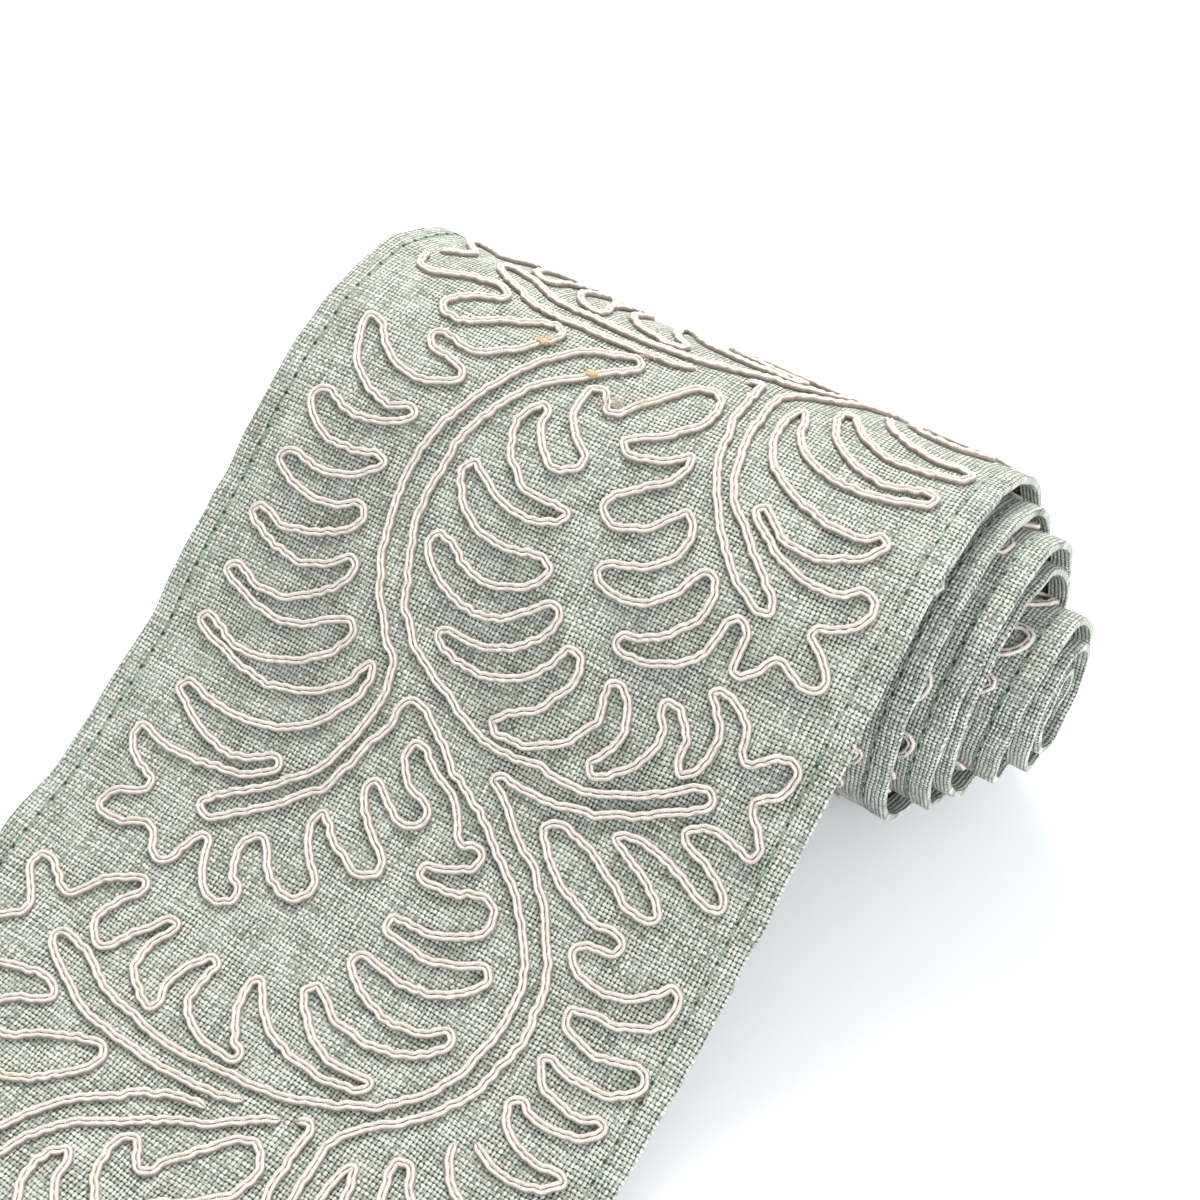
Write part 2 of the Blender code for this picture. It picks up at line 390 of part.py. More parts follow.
def make_strip(name, route, width, height, lift, path, material):
    """A low three-sided strip laid on the face of the cloth along a route in metres."""
    points = [Vector(point) for point in route]
    mesh_data = bmesh.new()
    rings = []
    for index, point in enumerate(points):
        ahead = points[min(index + 1, len(points) - 1)] - point
        behind = point - points[max(index - 1, 0)]
        ahead = ahead.normalized() if ahead.length else behind.normalized()
        behind = behind.normalized() if behind.length else ahead
        forward = (ahead + behind).normalized()
        side = Vector((-forward.y, forward.x)) * width / 2
        corners = ((point - side, lift), (point + side, lift), (point, lift + height))
        ring = [mesh_data.verts.new((place.x, place.y, rise)) for place, rise in corners]
        rings.append([mesh_data.edges.new((ring[turn - 1], ring[turn])) for turn in range(3)])
    for first, second in zip(rings, rings[1:]):
        bmesh.ops.bridge_loops(mesh_data, edges=first + second)
    bmesh.ops.holes_fill(mesh_data, edges=mesh_data.edges[:], sides=3)
    lay(mesh_data, path)
    finish_object(name, mesh_data, material)


def cord_lift(detail, radius):
    """Gap under a cord, with room for its straight stretches to bridge the round of the roll."""
    climb = detail[1] * DESIGN_UNIT
    return TOUCH_GAP + climb ** 2 / (8 * radius)


def make_cord(name, points, shift, detail, path, material):
    """One couched cord. Its points are in design units and lie a shift further into the roll."""
    kept = thin(points, *detail)
    placed = [(across * DESIGN_UNIT, (along - shift) * DESIGN_UNIT) for across, along in kept]
    deepest = min(along for _, along in placed)
    lift = cord_lift(detail, path.roll_radius(min(deepest, 0)))
    make_strip(name, placed, CORD_WIDTH, CORD_HEIGHT, lift, path, material)


def stretches_within(points, limit):
    """The stretches of a route that stay short of a limit, leaving out stubs."""
    found = [[]]
    for point in points:
        if point[1] <= limit:
            found[-1].append(point)
        elif found[-1]:
            found.append([])
    return [stretch for stretch in found if len(stretch) > STUB_POINTS]


def make_open_cord(name, points, shift, path, material):
    """A cord on the open stretch, cut where it would run into the front hem."""
    limit = (path.front - END_HEM - CORD_WIDTH) / DESIGN_UNIT + shift
    for number, stretch in enumerate(stretches_within(points, limit), 1):
        full_name = name if number == 1 else f"{name}_{number}"
        make_cord(full_name, stretch, shift, OPEN_DETAIL, path, material)


def rolled_repeats(path):
    """How many whole repeats of the design fit behind the crest, clear of the inner hem."""
    deepest = -min(along for _, along in VINE + LEFT_FROND + RIGHT_FROND)
    room = (-path.inner - END_HEM - CORD_WIDTH) / DESIGN_UNIT - deepest
    return int(room / REPEAT)


def make_cords(path, material):
    routes = (("vine_cord", VINE), ("left_frond_cord", LEFT_FROND), ("right_frond_cord", RIGHT_FROND))
    for name, route in routes:
        make_open_cord(f"{name}_0", route, 0, path, material)
        for number in range(1, rolled_repeats(path) + 1):
            make_cord(f"{name}_{number}", route, number * REPEAT, ROLLED_DETAIL, path, material)
    for name, route in routes[1:]:
        make_open_cord(f"{name}_front", route, -REPEAT, path, material)
    make_open_cord("vine_cord_front_left", FRONT_VINE_LEFT, 0, path, material)
    make_open_cord("vine_cord_front_right", FRONT_VINE_RIGHT, 0, path, material)


def make_hem_threads(path, material):
    inset = RUNNER_WIDTH / 2 - SIDE_HEM
    margin = END_HEM + THREAD_WIDTH + TOUCH_GAP
    inner_stop = path.inner + margin
    front_stop = path.front - margin
    middle = [along for along in path.stations() if inner_stop < along < front_stop]
    alongs = [front_stop] + middle + [inner_stop]
    for side, name in ((-1, "left_hem_thread"), (1, "right_hem_thread")):
        route = [(side * inset, along) for along in alongs]
        make_strip(name, route, THREAD_WIDTH, THREAD_HEIGHT, TOUCH_GAP, path, material)
    ends = ((path.front - END_HEM, "front_hem_thread"), (path.inner + END_HEM, "inner_hem_thread"))
    for along, name in ends:
        route = [(-inset, along), (inset, along)]
        make_strip(name, route, THREAD_WIDTH, THREAD_HEIGHT, TOUCH_GAP, path, material)


def make_tack(name, across, along, path, material):
    """A bar of stitches that holds down the cut end of a cord."""
    mesh_data = bmesh.new()
    bmesh.ops.create_icosphere(mesh_data, subdivisions=1, radius=TACK_DIAMETER / 2)
    squash = TACK_HEIGHT / TACK_DIAMETER
    lift = cord_lift(OPEN_DETAIL, path.radius) + CORD_HEIGHT + TOUCH_GAP + TACK_HEIGHT / 2
    for vertex in mesh_data.verts:
        rise = lift + vertex.co.z * squash
        vertex.co = (vertex.co.x + across * DESIGN_UNIT, vertex.co.y + along * DESIGN_UNIT, rise)
    lay(mesh_data, path)
    finish_object(name, mesh_data, material)


def build():
    clear_scene()
    path = ClothPath()
    linen = make_material("sage_linen", (0.48, 0.54, 0.45), 0.9)
    cord = make_material("ivory_soutache", (0.82, 0.74, 0.64), 0.45)
    thread = make_material("mint_thread", (0.60, 0.72, 0.60), 0.6)
    tack = make_material("tan_tack", (0.66, 0.46, 0.32), 0.6)
    make_cloth(path, linen)
    make_cords(path, cord)
    make_hem_threads(path, thread)
    for number, (across, along) in enumerate(TACKS, 1):
        make_tack(f"cord_tack_{number}", across, along, path, tack)


build()
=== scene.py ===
import functools
import math
import bmesh
import bpy
import numpy as np
from mathutils import Matrix, Vector


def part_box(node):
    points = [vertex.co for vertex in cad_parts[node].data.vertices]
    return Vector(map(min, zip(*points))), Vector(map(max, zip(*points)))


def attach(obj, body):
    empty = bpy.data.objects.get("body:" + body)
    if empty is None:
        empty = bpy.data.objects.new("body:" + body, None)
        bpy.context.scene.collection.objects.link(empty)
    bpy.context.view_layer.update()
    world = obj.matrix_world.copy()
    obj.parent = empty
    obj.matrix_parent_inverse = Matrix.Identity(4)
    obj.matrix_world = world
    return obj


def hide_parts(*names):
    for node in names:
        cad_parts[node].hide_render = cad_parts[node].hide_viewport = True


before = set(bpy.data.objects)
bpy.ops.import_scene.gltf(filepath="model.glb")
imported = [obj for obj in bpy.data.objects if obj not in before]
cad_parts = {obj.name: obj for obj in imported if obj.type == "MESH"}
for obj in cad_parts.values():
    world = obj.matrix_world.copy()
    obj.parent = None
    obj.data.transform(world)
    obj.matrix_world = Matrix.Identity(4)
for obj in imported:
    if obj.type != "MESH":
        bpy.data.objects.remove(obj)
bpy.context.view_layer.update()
print("frame loaded:", len(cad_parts), "solids")

mm = 0.001

# how the runner lies, in millimetres: flat by the front hem, up a slope, over the crest, round its own roll
runner = {
    "width": 152, "length": 1220,
    "coreRadius": 6.5, "turnPitch": 5.3, "sideStepPerTurn": 5.2,
    "flatRun": 40, "slopeRun": 185, "crestReach": 55, "footReach": 113, "footHeight": 1.6,
    "designRepeat": 178, "rolledRepeats": 5,
}

# hand rolling is uneven: turns lie a little tight or loose, and the innermost ones are level with each other
handRolling = {
    "settleTurns": 0.7, "oval": 0.9, "ovalBeat": 2.06, "ovalPhase": 0.5,
    "sway": 0.6, "swayBeat": 0.94, "swayPhase": 1.2,
    "looseness": 0.85, "looseTurns": 3.1, "loosePhase": 2.4,
    "levelFrom": 4.7, "levelShare": 1.3, "levelEase": 0.4,
    "sideSway": 1.9, "sideSwayTurns": 2.15, "sideSwayPhase": 2.2, "calmBefore": 0.5, "calmAfter": 0.6,
    "coreSqueeze": 2.6, "coreReach": 12, "coreFlatness": 0.75,
}

# the couched design, in millimetres as (across, along toward the front), with the crest at 0
vineRoute = [
    (5.5, 173.0), (0.5, 174.8), (-4.5, 175.4), (-9.5, 176.0), (-15, 176.4), (-22.5, 176.2), (-30, 175.8),
    (-35, 174.8), (-40, 172.4), (-45, 170.2), (-48.5, 168), (-50.3, 166.2), (-49, 164.6), (-45, 164.6),
    (-40, 166), (-36, 168), (-32, 169.8), (-26, 170.6), (-20, 171.6), (-14.5, 172), (-7.5, 171.4),
    (-2.5, 170.6), (5, 169.8), (11, 168.6), (17, 166.4), (22.5, 163.8), (28.5, 160.6), (32.5, 157),
    (36.5, 152), (38.5, 148), (39.5, 143.4), (40.5, 138), (40.5, 132), (39.8, 127.5), (38, 123),
    (35.5, 119.5), (32.5, 115.8), (29.5, 112.5), (25, 109.2), (21, 106.6), (17.5, 103.8), (13.5, 101.3),
    (9.3, 99.2), (5, 97), (1, 93.8), (-4, 90.4), (-8.5, 88.2), (-10.6, 87.6), (-12, 89.4), (-12, 93),
    (-13, 96.8), (-14.5, 100.5), (-15.6, 104.2), (-16.8, 108.4), (-18.5, 112.5), (-22, 116), (-25, 119.5),
    (-29, 123), (-32.7, 125.8), (-36.5, 129), (-39.5, 129.6), (-41, 127.6), (-39.5, 125.4),
    (-34.5, 121.5), (-29.5, 117.8), (-26, 114.2), (-22.4, 110.8), (-20.2, 106.6), (-18.5, 101.4),
    (-17.3, 96.4), (-16.8, 91.4), (-17.3, 86.4), (-18.8, 82.6), (-22.3, 79.4), (-25.2, 75.4), (-28, 71.6),
    (-30.3, 67.2), (-32.2, 63), (-33.4, 58), (-34.6, 53), (-35.3, 48), (-35.2, 43), (-34.3, 37),
    (-33, 32), (-31, 27), (-28.9, 22), (-26.8, 18.2), (-24, 13.2), (-20, 8.8), (-17.5, 5.8), (-13.5, 3.4),
    (-9.5, 1.8), (-6.5, 0.5), (-4.6, 0.4), (-3.6, 2), (-5.2, 4.4), (-9.3, 8), (-12.7, 11.7), (-17.6, 15),
    (-21.3, 18.8), (-23.6, 22.6), (-25.6, 27.2), (-27.7, 32), (-28.7, 37), (-28.6, 42), (-29, 47),
    (-28.8, 52), (-27.7, 56.8), (-26, 61.2), (-24, 65.8), (-22.7, 70), (-19.8, 73.8), (-16, 77.8),
    (-11.8, 80.4), (-6.8, 82.6), (-2.7, 84.4), (1.5, 86.4), (5, 87.8), (9.5, 88.7), (15, 88.7),
    (21, 87.8), (26, 88.4), (31.8, 88), (37, 86.2), (42, 83.8), (46.8, 81.2), (50.2, 78.4), (52.4, 77),
    (54.8, 76.8), (56.5, 78.4), (56, 80), (53.6, 81.3), (50.2, 83.5), (46, 86.2), (41, 88.8),
    (37, 90.6), (32, 92), (27, 93), (21.8, 93.6), (17.7, 93.2), (14, 93.6), (13.4, 94.8), (15.2, 95.8),
    (19, 98), (22, 101), (26, 103.8), (30.2, 106), (33.5, 109.6), (36.8, 113), (39.4, 117.5),
    (42.3, 121.3), (44, 125.8), (44.9, 130.4), (45.8, 135.4), (45.2, 139.8), (44, 144), (43.2, 148.8),
    (40.6, 153), (38.3, 156.6), (34.3, 160.6), (30.2, 164.2), (27, 167.2), (25.3, 170.2), (24.9, 174.4),
    (25.4, 178.8), (26, 186), (27.9, 193), (29.8, 198.4), (32.7, 202.2), (36.4, 205), (39.4, 208),
    (42.7, 210.8), (46, 213.6), (48.9, 216.4), (49.6, 218.6), (47.4, 219.4), (44.3, 217.8), (40.2, 215.6),
    (36.8, 212.4), (33.5, 209), (31, 206), (28.4, 202.2), (26, 198.4), (23.6, 193.4), (22.6, 188.4),
    (21, 183.4), (20.6, 178), (20.4, 173.4), (19.4, 169.6), (16.8, 171),
]
leftFrondRoute = [
    (-65.8, -5.6), (-64.6, -2.8), (-63.4, -0.2), (-60.2, 0.8), (-56, -1.2), (-50.2, -3.2), (-46, -4.2),
    (-42.4, -3.6), (-40.6, -1.6), (-42.6, 0.2), (-45.6, 1.6), (-49.2, 4.4), (-51, 7.2), (-49.8, 9.8),
    (-46.8, 10.4), (-42.6, 9.2), (-38.4, 6.4), (-33.5, 3.8), (-28.5, 1.8), (-25, 1), (-23.2, 2.6),
    (-25.2, 7), (-29.3, 11.2), (-33.4, 14.4), (-36.2, 16), (-41, 15.8), (-45.2, 14.8), (-48.2, 15.4),
    (-47.8, 17.6), (-44.3, 19.4), (-40.2, 20.2), (-36.6, 21), (-35.8, 23.2), (-39.4, 25.8), (-44.3, 27),
    (-49.3, 26.4), (-54.3, 24.2), (-57.6, 21.2), (-60.6, 18.4), (-63.4, 18), (-63.4, 20.8), (-62, 24.8),
    (-60, 28.8), (-55.2, 32.4), (-50.2, 34.6), (-45.2, 34.8), (-42.2, 33.4), (-40, 34.4), (-41.2, 36.4),
    (-45.2, 38.4), (-50.2, 39.8), (-55.2, 39.8), (-59.4, 38.4), (-63.2, 37.2), (-64.8, 39), (-63.6, 42.4),
    (-60.2, 45.4), (-56, 47), (-51, 47.2), (-46, 46.2), (-42.8, 45.6), (-41, 47), (-42.8, 49),
    (-46.8, 51.8), (-51, 53.4), (-55.2, 53.8), (-59.3, 53), (-63.8, 53.2), (-64.8, 55.2), (-61.8, 57.4),
    (-57.6, 59.2), (-51, 59.8), (-46.8, 59), (-44, 57.2), (-41.4, 56.7), (-39.8, 58.6), (-40.8, 61.4),
    (-43.6, 63.8), (-47.8, 65.8), (-52.8, 67.5), (-57.2, 68.2), (-60.8, 66.6), (-64, 66.4), (-64.6, 68.6),
    (-60.2, 71), (-55.2, 72.8), (-49.3, 73.4), (-44.3, 72), (-40.2, 69.2), (-37.6, 67.4), (-35.8, 69.6),
    (-37.2, 73.4), (-41, 77), (-45.2, 80), (-50.2, 82), (-55.2, 82), (-59.3, 80.6), (-63.2, 80),
    (-63.8, 82.2), (-60.2, 83.6), (-56, 85.2), (-50.2, 86.2), (-45.2, 86.2), (-40.2, 84.2), (-35.2, 81),
    (-31, 79.4), (-29.6, 82), (-31.4, 86), (-35.2, 90), (-39.4, 92.6), (-46, 95), (-51, 95.8),
    (-56, 94.8), (-59.5, 93), (-63.4, 92.4), (-64, 94.6), (-60.2, 96), (-54.3, 97.6), (-49.3, 98.8),
    (-42.7, 99.4), (-37.7, 98.4), (-32.6, 96.6), (-28.4, 94), (-25.4, 91), (-24.2, 87.4), (-22.8, 85.4),
    (-21.2, 87.8), (-21.6, 91.4), (-23, 95), (-25.4, 98.8), (-29.4, 103.2), (-34.3, 106), (-39.3, 107.6),
    (-45.2, 108.4), (-50.2, 108.4), (-55.2, 107.4), (-59, 106.8), (-60.2, 108.8), (-56.8, 111),
    (-51.8, 113.8), (-46.8, 115.4), (-41.8, 116), (-37.6, 115), (-34.4, 113.2), (-31.8, 111.4),
    (-30, 113), (-32.3, 116), (-36, 118.2), (-41, 119.4), (-46.8, 120.4), (-51, 121), (-56, 121),
    (-59.4, 120.2), (-63.2, 120), (-63.8, 122.4), (-61.4, 125.2), (-56.8, 127.8), (-53.4, 129),
    (-53.2, 131), (-55.6, 132.2), (-59.4, 134.2), (-61.2, 136.8), (-61, 139), (-58.2, 139.8),
    (-54.2, 139.2), (-50.2, 137.4), (-47, 137.2), (-45, 139), (-44, 141.4), (-41.6, 142.4), (-39.6, 141),
    (-38, 137), (-36.8, 133.4), (-35, 133), (-33.6, 135.6), (-31.8, 139.4), (-29.2, 142.4), (-26, 143.4),
    (-22.6, 142), (-22.2, 139.8), (-25.6, 136.8), (-27.4, 133), (-27, 129), (-25, 127.2), (-22.6, 128.8),
    (-20, 132), (-16.8, 134.6), (-12.7, 135.2), (-9.4, 133.8), (-8.6, 131.4), (-9.6, 129.4),
    (-12.8, 126.6), (-15.6, 123), (-17, 119.2), (-15.8, 117), (-13.4, 118.6), (-9.4, 121.6),
    (-5.2, 123.4), (-1.6, 124.2), (1.6, 122.4), (1, 119.8), (-2.7, 116.8), (-6.8, 113.8), (-9.4, 110.6),
    (-10.5, 108), (-9.2, 106.2), (-7, 106.6), (-4.4, 109), (-1, 110.8), (2.4, 110.8), (4.6, 108.8),
    (4.2, 106.4), (1, 104.8), (-2.2, 103.8), (-4.6, 101.4), (-6, 98.2), (-5.8, 95.8), (-3.8, 95.2),
    (-1.4, 96.6), (2.6, 99.4), (6.4, 100.8), (9.2, 103), (11.4, 106.4), (13.6, 109), (16, 108.4),
    (18, 107.6), (19.4, 109.4), (18.8, 111.8), (16.4, 113.6), (12.6, 115.2), (9.2, 116.4), (9.6, 118.4),
    (13.5, 118.8), (17.7, 118.2), (21.8, 116.4), (25.2, 115.9), (27.7, 117.6), (28, 120.8), (25.8, 123.8),
    (21.8, 125.8), (17.7, 127.4), (13.5, 127.8), (9.2, 128), (9.2, 130.6), (13.5, 131.5), (19.3, 131.9),
    (24.3, 130.8), (28.4, 128.8), (31.4, 127.4), (33.3, 129), (32.5, 131.4), (29.3, 134.6), (25.2, 137),
    (20.2, 138.2), (13.5, 138), (8.2, 137.4), (6.8, 139.4), (9.3, 142), (13.5, 144.2), (18.5, 145.6),
    (24.3, 145.4), (29.2, 143.6), (32.4, 141.4), (34, 143.2), (31.8, 146.4), (27.7, 149.4), (22.7, 151),
    (16.8, 151.6), (11, 150.8), (6.8, 148.6), (3.8, 147), (2.4, 148.8), (4.5, 152), (8, 155.2),
    (12.7, 157.5), (18.5, 158.2), (22.4, 157.2), (24.8, 157.6), (23.8, 159.6), (20.2, 160.9),
    (14.3, 161.6), (7.7, 161.2), (1.8, 159.6), (-2.5, 156.6), (-5.2, 153.4), (-7.2, 151.8), (-8.4, 154.4),
    (-7.8, 157), (-6.4, 160.4), (-3.6, 164.4), (-0.4, 166.4), (-1.2, 167.5), (-6, 167.9), (-11, 167.2),
    (-15, 165), (-17.2, 161.2), (-16.8, 157), (-16.4, 154.4), (-18, 152.8), (-19.8, 154.8),
    (-22.2, 158.8), (-22.8, 163), (-21.4, 166.2), (-22.2, 168), (-25.2, 167.2), (-29.2, 164.6),
    (-31.4, 161.4), (-31.2, 157), (-29.6, 153.8), (-28.8, 151.4), (-30.8, 151), (-34.2, 155.2),
    (-36.4, 158), (-38, 161.2), (-39.6, 163), (-41.8, 162.6), (-43.8, 161), (-44.6, 158.6),
    (-43.8, 154.8), (-42.2, 152), (-39.8, 149.2), (-40.4, 147.2), (-44.2, 148.2), (-48.4, 150.8),
    (-51.4, 155), (-53.4, 157.4), (-55.4, 157.4), (-58.5, 155.2), (-62.2, 153.2), (-64.8, 153.6),
    (-65.2, 156.2), (-62.6, 159.6), (-59.4, 162.8), (-59, 165.2), (-61.2, 167.2), (-64.4, 169.4),
]
rightFrondRoute = [
    (44.8, -19.6), (45.6, -17), (48.6, -13.2), (54.2, -9.8), (60, -8.4), (66, -8.8), (69, -7.6),
    (67.8, -4.8), (62.7, -3.2), (56.8, -2), (51, -2.6), (46, -5), (42.4, -8.6), (40.2, -11.6),
    (38, -11.2), (38.6, -6.4), (41, -1.8), (45.2, 2), (50.2, 4.4), (55.2, 5.2), (60, 4.4), (63.8, 2.6),
    (66.4, 3.6), (65.4, 5.8), (61.8, 7.2), (56, 8.9), (50.2, 9.5), (44.3, 8.8), (38.5, 6.4), (34.8, 2),
    (33.2, -2.6), (31.6, -5.8), (30.2, -3), (30.2, 2.8), (31.6, 8), (34.4, 12), (39.3, 15.4),
    (45.2, 17.8), (51, 19.2), (56, 19.4), (59.2, 18.6), (61.2, 17), (63.4, 18.6), (62.6, 20.6),
    (59.2, 23.4), (55.2, 25.6), (50.2, 26.8), (45.2, 26.2), (41, 23.8), (37.8, 21.2), (36.4, 22.6),
    (39.4, 25.6), (43.5, 28.4), (48.5, 30.8), (54.3, 31.9), (59.3, 31.7), (61.8, 30), (64.3, 28.8),
    (67.3, 30), (67.2, 33.4), (65.2, 36.6), (61.8, 38.4), (59, 39.2), (59, 41.2), (61.8, 43.4),
    (65, 46.6), (65.8, 49.4), (63.2, 50.8), (59.3, 49.8), (55.4, 48), (53.8, 49), (53, 51.4),
    (50.8, 53.6), (48.2, 54.2), (47.4, 51.4), (47.6, 47.2), (46.2, 44.6), (44, 44.2), (42.6, 46),
    (42.2, 49.6), (41, 53.6), (37.7, 57), (32.7, 59.4), (27.7, 60.4), (24, 59.6), (23.8, 57.2),
    (27.8, 56.2), (31.8, 53.8), (35.2, 50.4), (37.6, 46.4), (37.7, 42.2), (36.2, 39.2), (34.2, 38.2),
    (32.6, 39.8), (31.4, 43), (28.6, 46.8), (25, 49.6), (20.2, 50.6), (15.4, 49.8), (13, 47.8),
    (14, 45.8), (17.8, 44.4), (22.7, 42.4), (26.4, 38.8), (27.7, 34.6), (26.4, 31), (24.4, 29),
    (22.6, 30.8), (20.2, 33.8), (16.8, 36.4), (12.8, 37.8), (9.4, 37.4), (7.4, 35.4), (8.2, 33), (11, 30),
    (14.5, 27.4), (17.8, 24.6), (19.4, 20.6), (18.6, 17.8), (17.2, 19.4), (14.3, 21.2), (10.2, 22.7),
    (6.2, 23), (4, 21.2), (5.4, 19.4), (9.3, 17.4), (12.8, 14.2), (16, 10.6), (17.2, 7), (16.4, 3),
    (14.2, 0.6), (11.6, 0.8), (8.5, 3), (6, 6.4), (3.5, 9.6), (1, 13), (-0.6, 15.8), (-2.6, 16.6),
    (-4.4, 14), (-6.2, 11.8), (-8.4, 12.4), (-9.4, 14.8), (-9.3, 18), (-7.7, 22), (-4.3, 25.4),
    (-1.4, 27.2), (-1, 29.2), (-3.5, 32), (-5.8, 32.8), (-8.6, 31.2), (-11.8, 28.2), (-13.6, 25.4),
    (-14, 22.2), (-15.6, 20.8), (-17.6, 22.2), (-18.8, 25), (-18.7, 28.4), (-17.6, 31.4), (-14.3, 35.4),
    (-10.2, 38.6), (-5.2, 39.6), (-1.4, 39), (1.6, 40), (0.2, 42.4), (-3.6, 43.9), (-9.3, 44.2),
    (-14.3, 42.8), (-19.2, 40.2), (-23, 38.2), (-24.4, 40.4), (-22, 45.2), (-17.8, 49.2), (-12.7, 51.2),
    (-7.7, 51.6), (-2.7, 50.8), (1.2, 50), (3.6, 51.4), (3.6, 54), (0.8, 56.9), (-3.6, 59), (-9.3, 59.8),
    (-14.4, 58.2), (-18.6, 55.6), (-22.4, 54.8), (-23.4, 57.4), (-20.2, 61.6), (-15.2, 64.6),
    (-9.3, 66.2), (-3.5, 66), (0.8, 63.8), (4.4, 60.4), (7, 58), (9.4, 57.7), (10.6, 60), (9.4, 63.8),
    (6, 67.8), (1, 70.8), (-5, 72.2), (-9.4, 71.9), (-12.2, 72.6), (-11.4, 75), (-6.8, 76.4),
    (-2.4, 77.1), (2, 76.7), (6.8, 75), (11, 72), (13.6, 68), (15, 64.6), (17, 64), (18.9, 65.6),
    (19.7, 68.8), (17.8, 73.4), (15.2, 77.8), (11.8, 80.4), (8.6, 82.4), (7.4, 84.4), (9, 85.7), (15, 85.8),
    (19.3, 84.2), (23.5, 81.2), (26, 77.6), (27.6, 73.8), (26.8, 69.8), (26.2, 67.2), (28, 65.8),
    (31, 68.2), (33.2, 72.2), (33.2, 77), (31.6, 80.4), (29.8, 83), (31.2, 84.6), (34, 83.6),
    (36.8, 81.2), (39.3, 77.8), (41, 73.8), (40.4, 69.6), (38.4, 66.8), (38.6, 64.8), (41, 64.8),
    (43.6, 66.8), (46, 70.4), (46.4, 74.4), (47.6, 76.6), (49.8, 75.3), (51.4, 72), (51.7, 68),
    (50.4, 63.8), (47.6, 61), (46, 59.4), (48.4, 58.4), (52.7, 59.8), (56, 63), (57.2, 67), (58.4, 69),
    (60.4, 68.2), (62.7, 65.8), (66, 64.4), (68.7, 65.6), (69, 68), (66.8, 72), (63.8, 74.4), (64, 76.8),
    (66.8, 79.2), (68.8, 82), (68.2, 84.4), (65.8, 84.6), (61.8, 83), (58, 83.2), (54.8, 84.8),
    (53.6, 86.2), (55.6, 87.8), (59.3, 89.2), (62.7, 90.6), (65.4, 92.6), (67.5, 95.2), (65.8, 96.6),
    (62.6, 96.2), (58.5, 94.4), (53.5, 92.6), (48.5, 91.6), (44.3, 91.6), (41.8, 93), (44.3, 94.8),
    (48.5, 96.4), (52.7, 98.8), (56, 101.2), (56.8, 103.4), (54.3, 104.6), (51, 104.2), (46.8, 102),
    (42.7, 99.8), (38.5, 97.8), (33.5, 96.4), (29.4, 96.2), (27.6, 97.8), (29.5, 100.6), (32.8, 103.8),
    (36.8, 106.6), (41.8, 108.4), (46, 109.8), (50.2, 109.4), (53.4, 110.2), (53.2, 112.4), (50.2, 113.7),
    (46.2, 114.4), (45, 116), (46.8, 118.8), (51, 120.3), (56, 120.2), (60.2, 118.6), (63.6, 115.8),
    (66.2, 113), (68, 114.4), (68, 119.4), (64.3, 122.8), (59.3, 124.6), (54.3, 125.2), (50.6, 126.2),
    (51.2, 128.9), (55.2, 130.8), (60.2, 131.2), (64.3, 130.2), (67.7, 129), (70, 130.2), (69.8, 132.8),
    (67.5, 135.4), (62.7, 137), (56.8, 137.1), (53.4, 136.4), (50.8, 136.6), (51.8, 139.4), (55.2, 141.7),
    (60.2, 142.8), (64.2, 142.4), (66.2, 141.3), (68.3, 142.2), (67, 144.5), (63.4, 146.3), (58.5, 147.3),
    (54.3, 146.8), (51.8, 145.4), (49.9, 146.6), (50.8, 149.8), (54.3, 152.5), (60.2, 154), (64.4, 153.4),
    (67, 154), (65.4, 156.2), (61.6, 158.4), (56, 159), (51.4, 157.9), (48.4, 156.4),
]
frontVineLeft = [
    (0.2, 177.8), (-3.6, 178.4), (-7.8, 179.8), (-13, 182.8), (-16.4, 186), (-20.4, 189), (-24.2, 192.6),
    (-26.8, 196.6), (-28.9, 200.4), (-31, 205), (-33, 210), (-34.3, 215), (-35.2, 221), (-35.3, 226),
    (-35, 231), (-35.2, 234.4),
]
frontVineRight = [
    (14.2, 172.4), (10.4, 174.6), (6.4, 177.8), (2, 180.9), (-2.6, 182.8), (-6, 184.8), (-9.4, 187.4),
    (-13, 190), (-17.4, 193), (-21.2, 196.8), (-23.6, 200.6), (-25.6, 205.2), (-27.7, 210), (-28.7, 215),
    (-28.6, 220), (-29, 225), (-28.8, 230), (-28, 234.4),
]
tackPlaces = [(-25.2, 7), (-11, 9.8)]


slopeSteps = 400      # samples of the slope's curve


def slopeSamples(crest):
    # the open stretch as one Bezier, then straight on along the table
    t = np.linspace(0, 1, slopeSteps + 1)[:, None]
    handles = np.array([
        (0, crest), (-runner["crestReach"], crest),
        (runner["footReach"] - runner["slopeRun"], runner["footHeight"]),
        (-runner["slopeRun"], runner["footHeight"]),
    ])
    curve = ((1 - t) ** 3 * handles[0] + 3 * t * (1 - t) ** 2 * handles[1]
             + 3 * t * t * (1 - t) * handles[2] + t ** 3 * handles[3])
    flat = np.array([(-runner["slopeRun"] - step, runner["footHeight"]) for step in range(2, 61, 2)])
    points = np.vstack([curve, flat])
    lengths = np.concatenate([[0], np.cumsum(np.linalg.norm(np.diff(points, axis=0), axis=1))])
    return points, lengths, lengths[slopeSteps]


clothLow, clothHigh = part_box("linen_cloth")
axisY = clothLow.y / mm + runner["flatRun"] + runner["slopeRun"]
crestHeight = clothHigh.z / mm
slopePoints, slopeLengths, slopeEnd = slopeSamples(crestHeight)
slopeRuns = np.gradient(slopePoints, slopeLengths, axis=0)
frontEnd = slopeEnd + runner["flatRun"]
innerEnd = frontEnd - runner["length"]
rollRadius = math.sqrt(runner["coreRadius"] ** 2 - innerEnd * runner["turnPitch"] / math.pi)
axisHeight = crestHeight - rollRadius
print("roll radius", round(rollRadius, 2), "mm, front hem at", round(frontEnd, 1), "mm")


